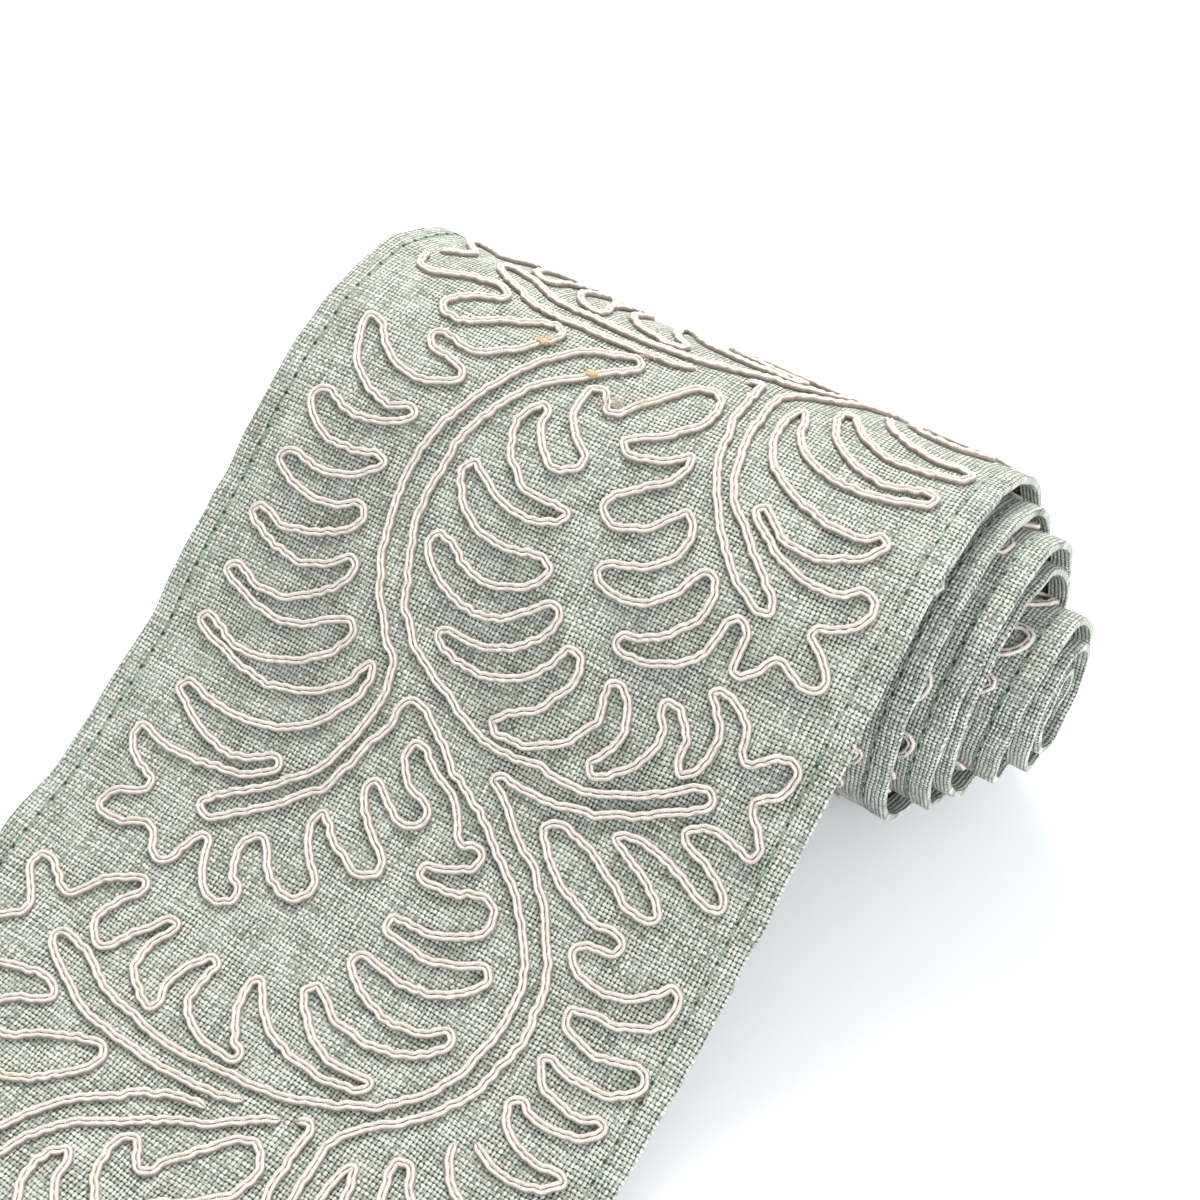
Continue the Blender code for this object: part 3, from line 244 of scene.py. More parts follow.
def smoothStep(values, low, high):
    share = np.clip((values - low) / (high - low), 0, 1)
    return share * share * (3 - 2 * share)


def rolledShape(along):
    # angle from the crest, radius and sideways step of the roll, as a hand leaves them
    hand, pitch = handRolling, runner["turnPitch"]
    radius = np.sqrt(np.maximum(rollRadius ** 2 + np.minimum(along, 0) * pitch / math.pi, 1))
    angle = (rollRadius - radius) * 2 * math.pi / pitch
    turns = angle / (2 * math.pi)
    settled = smoothStep(turns, hand["settleTurns"], hand["settleTurns"] + 1)
    uneven = (hand["oval"] * np.sin(hand["ovalBeat"] * angle + hand["ovalPhase"])
              + hand["sway"] * np.sin(hand["swayBeat"] * angle + hand["swayPhase"])
              + hand["looseness"] * np.sin(2 * math.pi * turns / hand["looseTurns"] + hand["loosePhase"]))
    inCore = smoothStep(-radius, -hand["coreReach"], -runner["coreRadius"])
    squeeze = hand["coreSqueeze"] * inCore * (1 - hand["coreFlatness"] * np.cos(2 * angle - math.pi / 2))
    inside = np.maximum(turns - hand["levelFrom"], 0)
    level = turns - hand["levelShare"] * inside ** 2 / (inside + hand["levelEase"])
    sway = np.sin(2 * math.pi * turns / hand["sideSwayTurns"] + hand["sideSwayPhase"])
    calmed = smoothStep(turns, hand["levelFrom"] - hand["calmBefore"], hand["levelFrom"] + hand["calmAfter"])
    swayShare = settled * (1 - calmed)
    sideways = runner["sideStepPerTurn"] * level + hand["sideSway"] * swayShare * sway
    return angle, radius + settled * uneven - squeeze, sideways


def layOnPath(across, along, height):
    # flat millimetres to metres on the real path
    across, along, height = (np.asarray(values, float) for values in (across, along, height))
    angle, radius, sideways = rolledShape(along)
    reach = radius + height
    roll = np.stack([
        across + sideways,
        axisY + reach * np.sin(angle),
        axisHeight + reach * np.cos(angle),
    ], -1)
    forward = np.maximum(along, 0)
    runY = np.interp(forward, slopeLengths, slopeRuns[:, 0])
    runZ = np.interp(forward, slopeLengths, slopeRuns[:, 1])
    size = np.hypot(runY, runZ)
    openStretch = np.stack([
        across,
        axisY + np.interp(forward, slopeLengths, slopePoints[:, 0]) + height * runZ / size,
        np.interp(forward, slopeLengths, slopePoints[:, 1]) - height * runY / size,
    ], -1)
    return np.where((along < 0)[..., None], roll, openStretch) * mm


def waves(across, along, length, seed):
    # smooth uneven ripples between about -1 and 1, about one wave length apart
    random = np.random.default_rng(seed)
    total = np.zeros(np.broadcast(across, along).shape)
    for _ in range(7):
        turn = random.uniform(0, 2 * math.pi)
        stretch = random.uniform(0.7, 1.5)
        phase = random.uniform(0, 2 * math.pi)
        run = across * math.cos(turn) + along * math.sin(turn)
        total += np.sin(run * 2 * math.pi / length / stretch + phase)
    return total / 4


# how far the sewn cloth puckers, in millimetres
puckers = {
    "broad": 0.42, "broadLength": 34, "fine": 0.16, "fineLength": 11,
    "edge": 0.8, "edgeLength": 26, "edgeReach": 11,
    "inRoll": 0.6, "openFrom": -30, "openOver": 40, "frontReach": 30, "frontShare": 0.3,
}


def clothLift(across, along):
    # height of the face over its smooth path
    edge = np.exp(-(runner["width"] / 2 - np.abs(across)) / puckers["edgeReach"])
    lift = puckers["broad"] * waves(across, along, puckers["broadLength"], 3)
    lift = lift + puckers["fine"] * waves(across, along, puckers["fineLength"], 8)
    lift = lift + puckers["edge"] * edge * waves(across * 0.3, along, puckers["edgeLength"], 5)
    openShare = np.clip((along - puckers["openFrom"]) / puckers["openOver"], 0, 1)
    frontShare = np.clip((frontEnd - along) / puckers["frontReach"], puckers["frontShare"], 1)
    return lift * (puckers["inRoll"] + (1 - puckers["inRoll"]) * openShare) * frontShare


def toLinear(hexColour):
    # sRGB hex to linear RGBA
    channels = [int(hexColour[place:place + 2], 16) / 255 for place in (1, 3, 5)]
    linear = [value / 12.92 if value <= 0.04045 else ((value + 0.055) / 1.055) ** 2.4 for value in channels]
    return linear + [1]


def addNode(tree, kind, inputs, out=0, **settings):
    # one node with its settings, values and links, and the output asked for
    node = tree.nodes.new("ShaderNode" + kind)
    for name, value in settings.items():
        setattr(node, name, value)
    for socket, value in inputs.items():
        if isinstance(value, bpy.types.NodeSocket):
            tree.links.new(value, node.inputs[socket])
        else:
            node.inputs[socket].default_value = value
    return node.outputs[out] if len(node.outputs) else node


def newMaterial(name):
    material = bpy.data.materials.new(name)
    material.use_nodes = True
    material.node_tree.nodes.clear()
    return material, functools.partial(addNode, material.node_tree)


# settings that many nodes share: a map range with soft ends, and a mix of two colours
smooth = {"interpolation_type": "SMOOTHSTEP"}
colourMix = {"data_type": "RGBA"}


def finishPiece(name, mesh, material, replaced):
    for polygon in mesh.polygons:
        polygon.use_smooth = True
    mesh.materials.append(material)
    piece = bpy.data.objects.new(name, mesh)
    bpy.context.scene.collection.objects.link(piece)
    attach(piece, "root")
    if replaced:
        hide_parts(*replaced)
    return piece


def plainMesh(name, shape):
    mesh = bpy.data.meshes.new(name)
    shape.to_mesh(mesh)
    shape.free()
    return mesh


def outwardMesh(name, shape):
    # a closed shape with its faces turned out, as a mesh
    bmesh.ops.recalc_face_normals(shape, faces=shape.faces)
    if shape.calc_volume(signed=True) < 0:
        bmesh.ops.reverse_faces(shape, faces=shape.faces)
    return plainMesh(name, shape)


def vertexPlaces(mesh):
    places = np.empty(len(mesh.vertices) * 3)
    mesh.vertices.foreach_get("co", places)
    return places.reshape(-1, 3)


def laidOnPath(name, mesh, across, along, height):
    # a flat mesh moved to its place on the cloth's path
    mesh.vertices.foreach_set("co", layOnPath(across, along, height).astype(np.float32).ravel())
    shape = bmesh.new()
    shape.from_mesh(mesh)
    bpy.data.meshes.remove(mesh)
    bmesh.ops.remove_doubles(shape, verts=shape.verts, dist=1e-7)
    bmesh.ops.holes_fill(shape, edges=[edge for edge in shape.edges if edge.is_boundary], sides=0)
    return outwardMesh(name, shape)


# medium plain-weave linen, 11 threads a centimetre: matt, uneven threads, with painted shade in the pinholes
# between them and where each thread dips at its edges
linen = {
    "acrossPitch": 0.88, "alongPitch": 0.98,      # thread spacing, mm
    "wander": 1.5, "wanderScale": 0.09,
    # hole and edgeShade are painted shade: the near-black painted into the pinholes, and how far the thread
    # edges darken toward it
    "thread": "#CBCEC1", "threadShade": "#7A8173", "hole": "#0E140D", "edgeShade": 0.6,
    # furrow and needle are painted shade colours: the darkening of the hems' sewn furrow and of their needle
    # holes
    "fleck": "#22332A", "fleckSpacing": 9, "furrow": "#4C6555", "needle": "#1C3226",
    "bump": 0.00026, "roughness": 0.85, "sheen": 0.15,      # bump in metres
}
# cloth and hem sizes in millimetres: a hem is the cloth turned under, and the seam sinks a furrow in it
hem = {
    "side": 4.8, "end": 10, "raise": 0.3, "thickness": 0.6, "doubled": 1.6, "stitchPitch": 4.2,
    "furrow": 0.16, "furrowReach": 0.38, "foldReach": 0.5, "lowest": -1.58,
    "edgeRadius": 0.7, "roundTop": 0.5, "roundBottom": 0.4,
    "waver": 0.25, "waverLength": 13, "waverReach": 3,
}


def makeLinen():
    material, add = newMaterial("sageLinenPlainWoven")
    place = add("UVMap", {}, uv_map="clothMap")
    x = add("SeparateXYZ", {0: place}, out=0)
    y = add("SeparateXYZ", {0: place}, out=1)
    # hand-spun threads wander a little
    wander = add("TexNoise", {"Vector": place, "Scale": linen["wanderScale"], "Detail": 2.0})
    drift = add("Math", {0: wander, 1: linen["wander"], 2: -linen["wander"] / 2}, operation="MULTIPLY_ADD")
    sines, domes = [], []
    for axis, way, pitch in ((x, "ADD", linen["acrossPitch"]), (y, "SUBTRACT", linen["alongPitch"])):
        drifted = add("Math", {0: axis, 1: drift}, operation=way)
        phase = add("Math", {0: drifted, 1: math.pi / pitch}, operation="MULTIPLY")
        sines.append(add("Math", {0: phase}, operation="SINE"))
        domes.append(add("Math", {0: sines[-1]}, operation="ABSOLUTE"))
    # which thread is on top, and how high it stands
    crossed = add("Math", {0: sines[0], 1: sines[1]}, operation="MULTIPLY")
    over = add("MapRange", {0: crossed, 1: -0.05, 2: 0.05}, **smooth)
    threads = []
    for own, other in (domes, reversed(domes)):
        rounded = add("Math", {0: own, 1: 0.7}, operation="POWER")
        dipping = add("Math", {0: other, 1: 0.5, 2: 0.5}, operation="MULTIPLY_ADD")
        threads.append(add("Math", {0: rounded, 1: dipping}, operation="MULTIPLY"))
    warp, weft = threads
    crossing = add("Mix", {0: over, 2: weft, 3: warp})
    # slubs: each thread is thick and thin, light and dark along its own run
    slubs = []
    for stretch in ((1.2, 0.1, 0), (0.1, 1.1, 0)):
        run = add("VectorMath", {0: place, 1: stretch}, operation="MULTIPLY")
        slubs.append(add("TexNoise", {"Vector": run, "Scale": 1.0, "Detail": 2.0}))
    slub = add("Mix", {0: over, 2: slubs[1], 3: slubs[0]})
    fibre = add("TexNoise", {"Vector": place, "Scale": 2.4, "Detail": 2.0})
    patches = add("TexNoise", {"Vector": place, "Scale": 0.16, "Detail": 3.0})
    openness = add("MapRange", {0: patches, 1: 0.3, 2: 0.7, 3: 1.05, 4: 1.75}, **smooth)
    tightness = add("Math", {0: domes[0], 1: domes[1]}, operation="ADD")
    loosened = add("Math", {0: fibre, 1: 0.7, 2: tightness}, operation="MULTIPLY_ADD")
    hole = add("MapRange", {0: loosened, 1: 0.72, 2: openness, 3: 1.0, 4: 0.0}, **smooth)
    shade = add("Math", {0: fibre, 1: 0.5, 2: slub}, operation="MULTIPLY_ADD")
    tone = add("MapRange", {0: shade, 1: 0.55, 2: 0.95}, **smooth)
    dull, light = toLinear(linen["threadShade"]), toLinear(linen["thread"])
    colour = add("Mix", {0: tone, 6: dull, 7: light}, 2, **colourMix)
    # painted shade: each thread darkens toward near-black where it dips at its edges between crossings
    between = add("MapRange", {0: crossing, 1: 0.1, 2: 0.75, 3: linen["edgeShade"], 4: 0.0}, **smooth)
    colour = add("Mix", {0: between, 6: colour, 7: toLinear(linen["hole"])}, 2, **colourMix)
    # painted shade: the pinholes between the threads are painted near-black
    colour = add("Mix", {0: hole, 6: colour, 7: toLinear(linen["hole"])}, 2, **colourMix)
    # the odd dark fleck of unbleached fibre
    specks = add("TexVoronoi", {"Vector": place, "Scale": 1 / linen["fleckSpacing"]}, "Distance")
    fleck = add("MapRange", {0: specks, 1: 0.02, 2: 0.06, 3: 0.8, 4: 0.0}, **smooth)
    colour = add("Mix", {0: fleck, 6: colour, 7: toLinear(linen["fleck"])}, 2, **colourMix)
    # painted shade in the sewn furrow of the side hems, and darker painted shade in the needle hole between
    # stitches
    fromMiddle = add("Math", {0: x}, operation="ABSOLUTE")
    fromSeam = add("Math", {0: fromMiddle, 1: runner["width"] / 2 - hem["side"]}, operation="SUBTRACT")
    besideSeam = add("Math", {0: fromSeam}, operation="ABSOLUTE")
    inFurrow = add("MapRange", {0: besideSeam, 1: 0.1, 2: 0.55, 3: 1.0, 4: 0.0}, **smooth)
    stitchPhase = add("Math", {0: y, 1: math.pi / hem["stitchPitch"]}, operation="MULTIPLY")
    stitchSine = add("Math", {0: stitchPhase}, operation="SINE")
    betweenStitches = add("Math", {0: stitchSine}, operation="ABSOLUTE")
    atNeedle = add("MapRange", {0: betweenStitches, 1: 0.15, 2: 0.45, 3: 1.0, 4: 0.0}, **smooth)
    needle = add("Math", {0: atNeedle, 1: inFurrow}, operation="MULTIPLY")
    seam = add("Math", {0: inFurrow, 1: 0.35}, operation="MULTIPLY")
    colour = add("Mix", {0: seam, 6: colour, 7: toLinear(linen["furrow"])}, 2, **colourMix)
    colour = add("Mix", {0: needle, 6: colour, 7: toLinear(linen["needle"])}, 2, **colourMix)
    slubbed = add("Math", {0: slub, 1: 0.7, 2: crossing}, operation="MULTIPLY_ADD")
    pitted = add("Math", {0: hole, 1: -0.6, 2: slubbed}, operation="MULTIPLY_ADD")
    height = add("Math", {0: needle, 1: -0.8, 2: pitted}, operation="MULTIPLY_ADD")
    bump = add("Bump", {"Height": height, "Distance": linen["bump"], "Strength": 1.0})
    shader = add("BsdfPrincipled", {
        "Base Color": colour, "Normal": bump, "Roughness": linen["roughness"],
        "Sheen Weight": linen["sheen"], "Sheen Roughness": 0.5, "IOR": 1.47, "Specular IOR Level": 0.3,
    })
    add("OutputMaterial", {"Surface": shader})
    return material


def hemProfile(across, along):
    # top and bottom heights of the cloth: doubled hems, a sewn furrow and rounded edges
    fromSide = runner["width"] / 2 - np.abs(across)
    fromEnd = np.minimum(frontEnd - along, along - innerEnd)
    inSide = np.clip((hem["side"] - fromSide) / hem["foldReach"] + 0.5, 0, 1)
    inEnd = np.clip((hem["end"] - fromEnd) / hem["foldReach"] + 0.5, 0, 1)
    inHem = np.maximum(inSide, inEnd)
    sideSeam = np.exp(-((fromSide - hem["side"]) / hem["furrowReach"]) ** 2) * (fromEnd > hem["end"] - 1)
    endSeam = np.exp(-((fromEnd - hem["end"]) / hem["furrowReach"]) ** 2) * (fromSide > hem["side"] - 1)
    sewn = np.maximum(sideSeam, endSeam)
    nearest = np.minimum(fromSide, fromEnd)
    fromCurve = 1 - np.clip(nearest / hem["edgeRadius"], 0, 1)
    rounding = 1 - np.sqrt(np.maximum(0, 1 - fromCurve ** 2))
    lift = clothLift(across, along)
    top = lift + hem["raise"] * inHem - hem["furrow"] * sewn - hem["roundTop"] * rounding
    folded = (hem["doubled"] - hem["thickness"]) * inHem
    bottom = lift - hem["thickness"] - folded + hem["roundBottom"] * rounding
    return top, np.maximum(bottom, hem["lowest"])


def spread(low, high, step, nearLow, nearHigh):
    # places from low to high: close together by both ends, then even
    start = [low + offset for offset in nearLow]
    stop = [high - offset for offset in reversed(nearHigh)]
    count = max(2, round((stop[0] - start[-1]) / step))
    middle = np.linspace(start[-1], stop[0], count + 1)[1:-1]
    return np.array(start + list(middle) + stop)


# the cloth's mesh: rows of faces close together over the hems, and wider apart between them, in millimetres
clothRows = {
    "bySide": (0, 0.12, 0.4, 0.9, 1.6, 2.4, 3.2, 3.8, 4.15, 4.4, 4.65, 5.0, 5.7, 6.8),
    "byEnd": (0, 0.12, 0.4, 0.9, 1.6, 3, 5, 7, 8.6, 9.4, 9.75, 10, 10.25, 10.6, 11.4),
    "across": 2.4, "inRoll": 2.6, "inOpen": 2.1, "openFrom": -30,
}


def makeCloth(material):
    halfWidth, openFrom = runner["width"] / 2, clothRows["openFrom"]
    columns = spread(-halfWidth, halfWidth, clothRows["across"], clothRows["bySide"], clothRows["bySide"])
    inRoll = spread(innerEnd, openFrom, clothRows["inRoll"], clothRows["byEnd"], (0,))
    inOpen = spread(openFrom, frontEnd, clothRows["inOpen"], (0,), clothRows["byEnd"])
    rows = np.concatenate([inRoll, inOpen[1:]])
    shape = bmesh.new()
    bmesh.ops.create_grid(shape, x_segments=len(columns) - 1, y_segments=len(rows) - 1, size=1)
    grown = bmesh.ops.extrude_face_region(shape, geom=shape.faces[:])["geom"]
    for item in grown:
        if isinstance(item, bmesh.types.BMVert):
            item.co.z = -1
    mesh = outwardMesh("linenFlat", shape)
    drawn = vertexPlaces(mesh)
    across = columns[np.round((drawn[:, 0] + 1) / 2 * (len(columns) - 1)).astype(int)]
    along = rows[np.round((drawn[:, 1] + 1) / 2 * (len(rows) - 1)).astype(int)]
    layer = mesh.uv_layers.new(name="clothMap")
    corners = np.empty(len(mesh.loops), int)
    mesh.loops.foreach_get("vertex_index", corners)
    layer.data.foreach_set("uv", np.stack([across, along], -1)[corners].astype(np.float32).ravel())
    top, bottom = hemProfile(across, along)
    edge = np.exp(-(halfWidth - np.abs(across)) / hem["waverReach"])
    waver = hem["waver"] * edge * waves(np.sign(across) * 40, along, hem["waverLength"], 21)
    height = np.where(drawn[:, 2] < -0.5, bottom, top)
    mesh = laidOnPath("linenCloth", mesh, across + waver, along, height)
    return finishPiece("linenCloth", mesh, material, ["linen_cloth"])


cloth = makeCloth(makeLinen())
print("cloth made:", len(cloth.data.polygons), "faces")


# rayon soutache, two braided ribs over cotton cores: ivory satin, with painted shade browning the undersides
# where the ribs turn down to the cloth and darkening the groove between them; sizes in millimetres
soutache = {
    "width": 2.1, "height": 1.15, "fineStep": 0.6, "coarseStep": 1.4,
    "wander": 0.2, "wanderLength": 7, "kink": 0.15, "kinkLength": 3, "pinch": 0.1,
    "bendEase": 1.1, "endTaper": 1.1,
    "ribSwell": 0.14, "ribSwellLength": 2.6, "grooveRise": 0.16, "grooveLength": 2.2, "grooveHalf": 0.2,
    # the groove colour and the underside colour are painted shade, not colours of the braid itself
    "top": "#D6CFC6", "shade": "#A08E7A", "groove": "#1B130E", "undersideShade": "#6A5644",
    "fibreLength": 0.42, "stitchPitch": 2.4, "roughness": 0.28, "bump": 0.00006,      # bump in metres
}
# half widths across and heights of the two ribs, starting and ending in the groove between them
ribSection = np.array([
    (0, 0.52), (0.12, 0.7), (0.32, 0.96), (0.55, 1.0), (0.8, 0.84), (0.98, 0.48), (0.9, 0.08), (0.45, -0.16),
    (-0.45, -0.16), (-0.9, 0.08), (-0.98, 0.48), (-0.8, 0.84), (-0.55, 1.0), (-0.32, 0.96), (-0.12, 0.7),
])
plainSection = np.array([
    (0, 0.6), (0.5, 1.0), (0.98, 0.48), (0.5, -0.16), (-0.5, -0.16), (-0.98, 0.48), (-0.5, 1.0),
])


def smoothRoute(points, step):
    # a smooth curve through the given points, then even steps along it
    points = np.array(points, float)
    lengths = np.concatenate([[0], np.cumsum(np.linalg.norm(np.diff(points, axis=0), axis=1))])
    slopes = np.gradient(points, lengths, axis=0)
    places = np.linspace(0, lengths[-1], max(4, int(lengths[-1] / step)))
    index = np.clip(np.searchsorted(lengths, places, side="right") - 1, 0, len(points) - 2)
    span = (lengths[index + 1] - lengths[index])[:, None]
    t = (places - lengths[index])[:, None] / span
    route = ((2 * t ** 3 - 3 * t ** 2 + 1) * points[index] + (t ** 3 - 2 * t ** 2 + t) * span * slopes[index]
            + (-2 * t ** 3 + 3 * t ** 2) * points[index + 1] + (t ** 3 - t ** 2) * span * slopes[index + 1])
    # a stiff cord rounds off tight corners
    reach = 4
    softening = np.exp(-(np.arange(-reach, reach + 1) * step / soutache["bendEase"]) ** 2)
    softening = softening / softening.sum()
    padded = np.pad(route, ((reach, reach), (0, 0)), mode="edge")
    eased = np.stack([np.convolve(padded[:, axis], softening, "valid") for axis in (0, 1)], -1)
    eased[0], eased[-1] = route[0], route[-1]
    return eased


def sidesOf(route):
    forward = np.gradient(route, axis=0)
    forward /= np.maximum(np.linalg.norm(forward, axis=1), 1e-9)[:, None]
    return forward, np.stack([-forward[:, 1], forward[:, 0]], -1)


def wanderAlong(length, wave, seed):
    # smooth random sway along a cord, between about -1 and 1
    random = np.random.default_rng(seed)
    total = np.zeros_like(length)
    for _ in range(5):
        stretch = random.uniform(0.7, 1.4)
        phase = random.uniform(0, 2 * math.pi)
        total += np.sin(length * 2 * math.pi / wave / stretch + phase)
    return total / 3


def sewnRoute(points, shift, step, seed):
    # the cord's own line: pulled a little to and fro by its stitches
    route = smoothRoute(points, step)
    lengths = np.concatenate([[0], np.cumsum(np.linalg.norm(np.diff(route, axis=0), axis=1))])
    _, side = sidesOf(route)
    sway = (soutache["wander"] * wanderAlong(lengths, soutache["wanderLength"], seed)
            + soutache["kink"] * wanderAlong(lengths, soutache["kinkLength"], seed + 1))
    return route + side * sway[:, None] - np.array([0, shift]), lengths


def tubeAlong(name, route, lengths, section, widths, heights, seed):
    # a grid bent into a closed tube on the cloth, its map in turns around and millimetres along
    count, around = len(route), len(section)
    shape = bmesh.new()
    shape.loops.layers.uv.new("cordMap")
    bmesh.ops.create_grid(shape, x_segments=around, y_segments=count - 1, size=1, calc_uvs=True)
    mesh = plainMesh("cordFlat", shape)
    drawn = vertexPlaces(mesh)
    column = np.round((drawn[:, 0] + 1) / 2 * around).astype(int) % around
    row = np.round((drawn[:, 1] + 1) / 2 * (count - 1)).astype(int)
    mapped = np.empty(len(mesh.loops) * 2)
    mesh.uv_layers[0].data.foreach_get("uv", mapped)
    mapped = mapped.reshape(-1, 2)
    mapped[:, 1] = np.interp(mapped[:, 1] * (count - 1), np.arange(count), lengths)
    mesh.uv_layers[0].data.foreach_set("uv", mapped.astype(np.float32).ravel())
    # each rib swells on its own, and the groove closes here and there
    swells = np.stack([wanderAlong(lengths, soutache["ribSwellLength"], seed + rib) for rib in (5, 6)])
    closing = wanderAlong(lengths, soutache["grooveLength"], seed + 7)
    groove = soutache["grooveRise"] * np.clip(closing, 0, 1.5)
    onRight = (section[column, 0] > 0).astype(int)
    onRib = np.abs(section[column, 0]) > soutache["grooveHalf"]
    rise = section[column, 1] * (1 + soutache["ribSwell"] * swells[onRight, row] * onRib)
    rise = rise + groove[row] * ~onRib
    _, side = sidesOf(route)
    offset = section[column, 0] * widths[row]
    across = route[row, 0] + side[row, 0] * offset
    along = route[row, 1] + side[row, 1] * offset
    height = clothLift(route[row, 0], route[row, 1]) + rise * heights[row]
    return laidOnPath(name, mesh, across, along, height)


def makeCord(name, points, shift, fine, seed, material, replaced):
    step = soutache["fineStep"] if fine else soutache["coarseStep"]
    route, lengths = sewnRoute(points, shift, step, seed)
    pinch = 1 - soutache["pinch"] * (0.5 + 0.5 * wanderAlong(lengths, soutache["kinkLength"], seed + 2))
    # ends are turned under, so the last millimetre narrows and sinks
    fromEnd = np.minimum(lengths, lengths[-1] - lengths)
    ends = np.sqrt(np.clip(fromEnd / soutache["endTaper"], 0.12, 1))
    widths = soutache["width"] / 2 * pinch * ends
    heights = soutache["height"] * (1.5 - 0.5 * pinch) * ends
    section = ribSection if fine else plainSection
    mesh = tubeAlong(name, route, lengths, section, widths, heights, seed)
    finishPiece(name, mesh, material, replaced)
    return route, lengths


def makeSoutache():
    material, add = newMaterial("ivorySoutacheBraided")
    place = add("UVMap", {}, uv_map="cordMap")
    around = add("SeparateXYZ", {0: place}, out=0)
    length = add("SeparateXYZ", {0: place}, out=1)
    fromUnder = add("Math", {0: around, 1: 0.5}, operation="SUBTRACT")
    halfTurn = add("Math", {0: fromUnder}, operation="ABSOLUTE")
    turn = add("Math", {0: halfTurn, 1: 2.0}, operation="MULTIPLY")      # 1 in the groove, 0 underneath
    # slanting fibres of the braid, mirrored from rib to rib
    slope = add("Math", {0: turn, 1: 9.0}, operation="MULTIPLY")
    slant = add("Math", {0: length, 1: 2 * math.pi / soutache["fibreLength"], 2: slope},
                operation="MULTIPLY_ADD")
    sine = add("Math", {0: slant}, operation="SINE")
    fibres = add("Math", {0: sine, 1: 0.5, 2: 0.5}, operation="MULTIPLY_ADD")
    stretched = add("VectorMath", {0: place, 1: (3.0, 0.6, 0)}, operation="MULTIPLY")
    patches = add("TexNoise", {"Vector": stretched, "Scale": 1.0, "Detail": 3.0})
    worn = add("MapRange", {0: patches, 1: 0.35, 2: 0.75, 3: 0.4, 4: 0.0}, **smooth)
    top, shade = toLinear(soutache["top"]), toLinear(soutache["shade"])
    colour = add("Mix", {0: worn, 6: top, 7: shade}, 2, **colourMix)
    # painted shade between the slanting fibres, darkest where their bump is lowest
    fibreShade = add("Math", {0: fibres, 1: -0.22, 2: 0.22}, operation="MULTIPLY_ADD")
    colour = add("Mix", {0: fibreShade, 6: colour, 7: shade}, 2, **colourMix)
    # painted shade: the underside of each rib, where it turns down toward the cloth, is painted browner
    under = add("MapRange", {0: turn, 1: 0.34, 2: 0.58, 3: 0.8, 4: 0.0}, **smooth)
    colour = add("Mix", {0: under, 6: colour, 7: toLinear(soutache["undersideShade"])}, 2, **colourMix)
    # painted shade in the groove between the ribs, broken where a stitch or a swelling closes it
    inGroove = add("MapRange", {0: turn, 1: 0.86, 2: 0.96}, **smooth)
    gapPhase = add("Math", {0: length, 1: math.pi / soutache["stitchPitch"]}, operation="MULTIPLY")
    gapSine = add("Math", {0: gapPhase}, operation="SINE")
    gap = add("Math", {0: gapSine}, operation="ABSOLUTE")
    uneven = add("Math", {0: patches, 1: 0.9, 2: gap}, operation="MULTIPLY_ADD")
    broken = add("MapRange", {0: uneven, 1: 0.65, 2: 1.1, 3: 0.0, 4: 0.95}, **smooth)
    dark = add("Math", {0: inGroove, 1: broken}, operation="MULTIPLY")
    colour = add("Mix", {0: dark, 6: colour, 7: toLinear(soutache["groove"])}, 2, **colourMix)
    bump = add("Bump", {"Height": fibres, "Distance": soutache["bump"], "Strength": 1.0})
    shader = add("BsdfPrincipled", {
        "Base Color": colour, "Normal": bump, "Roughness": soutache["roughness"],
        "Sheen Weight": 0.2, "Sheen Roughness": 0.4, "IOR": 1.5, "Specular IOR Level": 0.8,
    })
    add("OutputMaterial", {"Surface": shader})
    return material


cordSatin = makeSoutache()
stitched = []      # the routes close enough to the eye to show their stitches


def addCord(name, points, shift, fine, seed, node):
    route, lengths = makeCord(name, points, shift, fine, seed, cordSatin, [node])
    if fine:
        stitched.append((route, lengths))


stitchedRepeats = 2      # the open one and the one just over the crest
shortestStretch = 8      # points


def cutAtFront(points, limit):
    # the stretches of a route short of the front hem, without stubs
    found = [[]]
    for point in points:
        if point[1] <= limit:
            found[-1].append(point)
        elif found[-1]:
            found.append([])
    return [stretch for stretch in found if len(stretch) > shortestStretch]


def makeCords():
    routes = (("vineCord", "vine_cord", vineRoute), ("leftFrondCord", "left_frond_cord", leftFrondRoute),
              ("rightFrondCord", "right_frond_cord", rightFrondRoute))
    for order, (name, node, route) in enumerate(routes):
        for number in range(runner["rolledRepeats"] + 1):
            shift = number * runner["designRepeat"]
            seed = 100 + order * 20 + number
            addCord(f"{name}{number}", route, shift, number < stitchedRepeats, seed, f"{node}_{number}")
    repeat = runner["designRepeat"]
    frontLimit = frontEnd - hem["end"] - soutache["width"] - repeat
    firstLeft = cutAtFront(leftFrondRoute, frontLimit)[0]
    addCord("leftFrondCordFront", firstLeft, -repeat, True, 201, "left_frond_cord_front")
    firstRight, secondRight = cutAtFront(rightFrondRoute, frontLimit)[:2]
    addCord("rightFrondCordFront1", firstRight, -repeat, True, 211, "right_frond_cord_front")
    addCord("rightFrondCordFront2", secondRight, -repeat, True, 212, "right_frond_cord_front_2")
    addCord("vineCordFrontLeft", frontVineLeft, 0, True, 221, "vine_cord_front_left")
    addCord("vineCordFrontRight", frontVineRight, 0, True, 231, "vine_cord_front_right")


makeCords()
print("cords made:", len(stitched), "of them with stitches")

